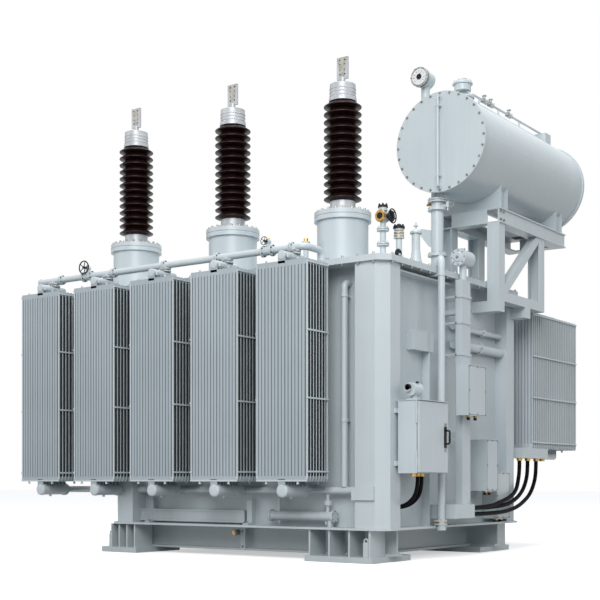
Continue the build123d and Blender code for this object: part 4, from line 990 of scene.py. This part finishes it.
def flange_bolts():
    """Bolts on the flanges of the main pipe, the drain pipe and the relief device."""
    mesh = bmesh.new()
    x, y, reach, _ = centre_of("main_pipe")
    for flange in (COVER[1].z, 2.715, 3.130):
        bolt_circle(mesh, (x, y, flange + 0.026), UP, reach - 0.016, 8, 0.008)
    low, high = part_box("drain_pipe")
    for x, axis in ((low.x, LEFT), (high.x, RIGHT)):
        bolt_circle(mesh, (x, (low.y + high.y) / 2, 0.377), axis, 0.044, 6, 0.005)
    low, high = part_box("relief_device")
    for y, axis in ((low.y, FRONT), (high.y, BACK)):
        bolt_circle(mesh, ((low.x + high.x) / 2, y, high.z - RELIEF_TOP), axis, 0.062, 8, 0.005)
    piece(mesh, "flange_bolts", ZINC)


def box_details():
    """Screws and a dark seam round the lids of the boxes on the end wall, and plugged glands below them."""
    mesh, seams, necks = meshes(3)
    seam, inset = 0.004, 0.012
    for (x, y, z), (width, height) in BOX_LIDS:
        face, side = END_X + x, FRONT_Y + y
        corner = (face + 0.001, side + width - seam, z + height - seam)
        strips(seams, (face - 0.0005, side + seam, z + seam), corner, 0.003)
        for across in (width * 0.3, width * 0.7):
            spot = (face - 0.055, side + across, z)
            nut(necks, spot, DOWN, 0.020, 0.016)
            cylinder(seams, (spot[0], spot[1], z - 0.016), DOWN, 0.015, 0.022, 16)
        for across in (inset, width / 2, width - inset):
            for up in (inset, height / 2, height - inset):
                if across != width / 2 or up != height / 2:
                    bolt(mesh, (face, side + across, z + up), RIGHT, 0.005)
    piece(mesh, "lid_screws", ZINC)
    piece(seams, "lid_seams", PLASTIC)
    piece(necks, "box_gland_necks", BRASS)


def cabinet_details():
    """Lock barrels, handle shield and seal of the door, and brass parts and caps on the cabinet's motor head."""
    low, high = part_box("cabinet_door")
    grip_low, grip_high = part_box("door_handle")
    handle = (grip_low + grip_high) / 2
    lock, shield, bits, cap, seal = meshes(5)
    for lift in (-0.105, 0.105):
        cylinder(lock, (high.x, handle.y, handle.z + lift), RIGHT, 0.014, 0.009, 20)
    piece(lock, "door_lock", ZINC, DOOR, edge=0.001)
    plate = high.x + 0.003
    block(
        shield, (high.x - 0.001, grip_low.y - 0.010, grip_low.z - 0.014),
        (plate, grip_high.y + 0.010, grip_high.z + 0.014),
    )
    for z in (grip_low.z - 0.008, grip_high.z + 0.008):
        cylinder(shield, (plate, handle.y, z), RIGHT, 0.004, 0.002, 12)
    piece(shield, "handle_shield", PLASTIC, DOOR, edge=0.001)
    motor_low, motor_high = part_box("motor_head")
    centre = (motor_low + motor_high) / 2
    plug_z = centre.z + 0.030
    nut(bits, (centre.x, motor_low.y + 0.006, plug_z), FRONT, 0.016, 0.006)
    nut_circle(bits, (centre.x, motor_high.y - 0.004, motor_high.z - 0.055), BACK, 0.040, 6, 0.006, 0.008)
    for across in (-0.035, 0.035):
        bolt(bits, (centre.x + across, centre.y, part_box("cabinet")[1].z), UP, 0.008)
    piece(bits, "motor_brass", BRASS)
    cylinder(cap, (centre.x, motor_low.y, plug_z), BACK, 0.026, 0.022, 24)
    cylinder(cap, (centre.x + 0.030, motor_high.y - 0.060, motor_high.z - 0.004), UP, 0.014, 0.012, 16)
    piece(cap, "motor_caps", PLASTIC, edge=0.001)
    corner = (low.x + 0.004, high.y - 0.006, high.z - 0.006)
    strips(seal, (low.x - 0.0035, low.y + 0.034, low.z + 0.006), corner, 0.012)
    piece(seal, "door_seal", RUBBER, DOOR)


def weld_beads():
    """Weld beads round the turrets on the cover."""
    mesh = bmesh.new()
    for index in BUSHINGS:
        x, y, _, _ = centre_of(f"turret_{index}")
        ring(mesh, (x, y, COVER[1].z), UP, 0.226, 0.006, 64, 6)
    piece(mesh, "turret_welds", TANK_PAINT)


def wall_pipes():
    """Flanged pipes behind the duct on the end wall, the duct's joints, and covers and plugs of the relief device."""
    duct_low, duct_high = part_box("relief_duct")
    low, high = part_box("relief_device")
    run = COLUMNS[1].y - 0.10 - duct_high.y
    mesh, brass, metal = meshes(3)
    for x, z, radius, joints in WALL_PIPES:
        cylinder(mesh, (x, duct_high.y - 0.010, z), BACK, radius, run + 0.010, 32)
        for share in joints:
            y = duct_high.y + run * share
            for step in (0.0, 0.020):
                cylinder(mesh, (x, y + step, z), BACK, radius + 0.014, 0.014, 32)
            cylinder(brass, (x, y + 0.014, z), BACK, radius + 0.008, 0.006, 32)
            nut_circle(metal, (x, y, z), FRONT, radius + 0.007, 6, 0.005, 0.007)
    x = (duct_low.x + duct_high.x) / 2 + 0.05
    lip = 0.008
    for z in (duct_high.z - 0.16, 2.06, 1.78):
        for y in (duct_low.y - lip, duct_high.y):
            block(mesh, (duct_low.x, y, z), (duct_high.x + 0.004, y + lip, z + 0.020))
        block(mesh, (duct_high.x, duct_low.y - lip, z), (duct_high.x + lip, duct_high.y + lip, z + 0.020))
        bolt(metal, (x, duct_low.y - lip, z + 0.010), FRONT, 0.007)
    centre = (low + high) / 2
    for y, axis in ((low.y, FRONT), (high.y, BACK)):
        cylinder(mesh, (centre.x, y, high.z - RELIEF_TOP), axis, 0.044, 0.010, 32, 0.036)
        nut(metal, (centre.x, y + axis[1] * 0.010, high.z - RELIEF_TOP), axis, 0.012, 0.012)
    nut(metal, (centre.x, centre.y, high.z - 0.006), UP, 0.020, 0.022)
    piece(mesh, "wall_pipes", TANK_PAINT, edge=0.001)
    piece(brass, "wall_pipe_joints", BRASS)
    piece(metal, "wall_pipe_bolts", ZINC)


def base_details():
    """Plate and plugged port on the base's front, plates on the bottom flange, and lugs with an eye on the feet."""
    mesh, metal, brass = meshes(3)
    frame_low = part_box("base_frame")[0]
    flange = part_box("bottom_flange")[1].z
    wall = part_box("tank_body")[0].y
    block(mesh, (0.160, frame_low.y - 0.012, frame_low.z), (0.216, frame_low.y + 0.002, 0.262))
    for z in (0.085, 0.225):
        bolt(metal, (0.188, frame_low.y - 0.012, z), FRONT, 0.009)
    cylinder(metal, (0.128, frame_low.y, 0.212), FRONT, 0.026, 0.060, 20)
    nut(brass, (0.128, frame_low.y - 0.060, 0.212), FRONT, 0.017, 0.012)
    for x in (-0.829, 0.343):
        left, right = x - 0.028, x + 0.028
        block(mesh, (left, wall - 0.060, flange - 0.002), (right, wall + 0.002, 0.505))
        block(mesh, (left, wall - 0.120, flange - 0.002), (right, wall - 0.058, flange + 0.014))
        bolt(metal, (x, wall - 0.090, flange + 0.014), UP, 0.009)
    low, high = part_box("foot_plates")
    for x in (low.x + 0.060, high.x - 0.110):
        for y in (low.y + 0.045, high.y - 0.045):
            block(mesh, (x, y - 0.008, high.z - 0.002), (x + 0.050, y + 0.008, high.z + 0.120))
            ring(mesh, (x + 0.025, y, high.z + 0.132), BACK, 0.018, 0.007, 24, 8)
    piece(mesh, "base_plates", TANK_PAINT, edge=0.001)
    piece(metal, "base_bolts", ZINC)
    piece(brass, "base_brass", BRASS)


def frame_bolts():
    """Bolts where the posts meet the support frame and under the saddles."""
    mesh = bmesh.new()
    low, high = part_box("frame_beams")
    for y in (low.y + 0.030, low.y + 0.095):
        for z in (low.z + 0.030, high.z - 0.030):
            bolt(mesh, (high.x, y, z), RIGHT, 0.010)
    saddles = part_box("conservator_saddles")
    for y in (saddles[0].y + 0.03, saddles[0].y + 0.12, saddles[1].y - 0.12, saddles[1].y - 0.03):
        for x in (low.x + 0.02, high.x - 0.02):
            bolt(mesh, (x, y, high.z), UP, 0.009)
    piece(mesh, "frame_bolts", ZINC)


def main():
    """Build the scene on the frame."""
    make_camera()
    make_world()
    make_stage()
    dress_frame()
    cords()
    conservator_details()
    dome_details()
    turret_details()
    bushing_collars()
    shed_rim_highlights()
    column_caps()
    cover_bolts()
    upper_valves()
    pipe_valves()
    front_radiators()
    rear_radiator_packs()
    gauge_details()
    sight_pipe()
    cover_fitting_details()
    main_pipe_details()
    flange_bolts()
    box_details()
    cabinet_details()
    weld_beads()
    wall_pipes()
    base_details()
    beam_flanges()
    frame_bolts()


main()
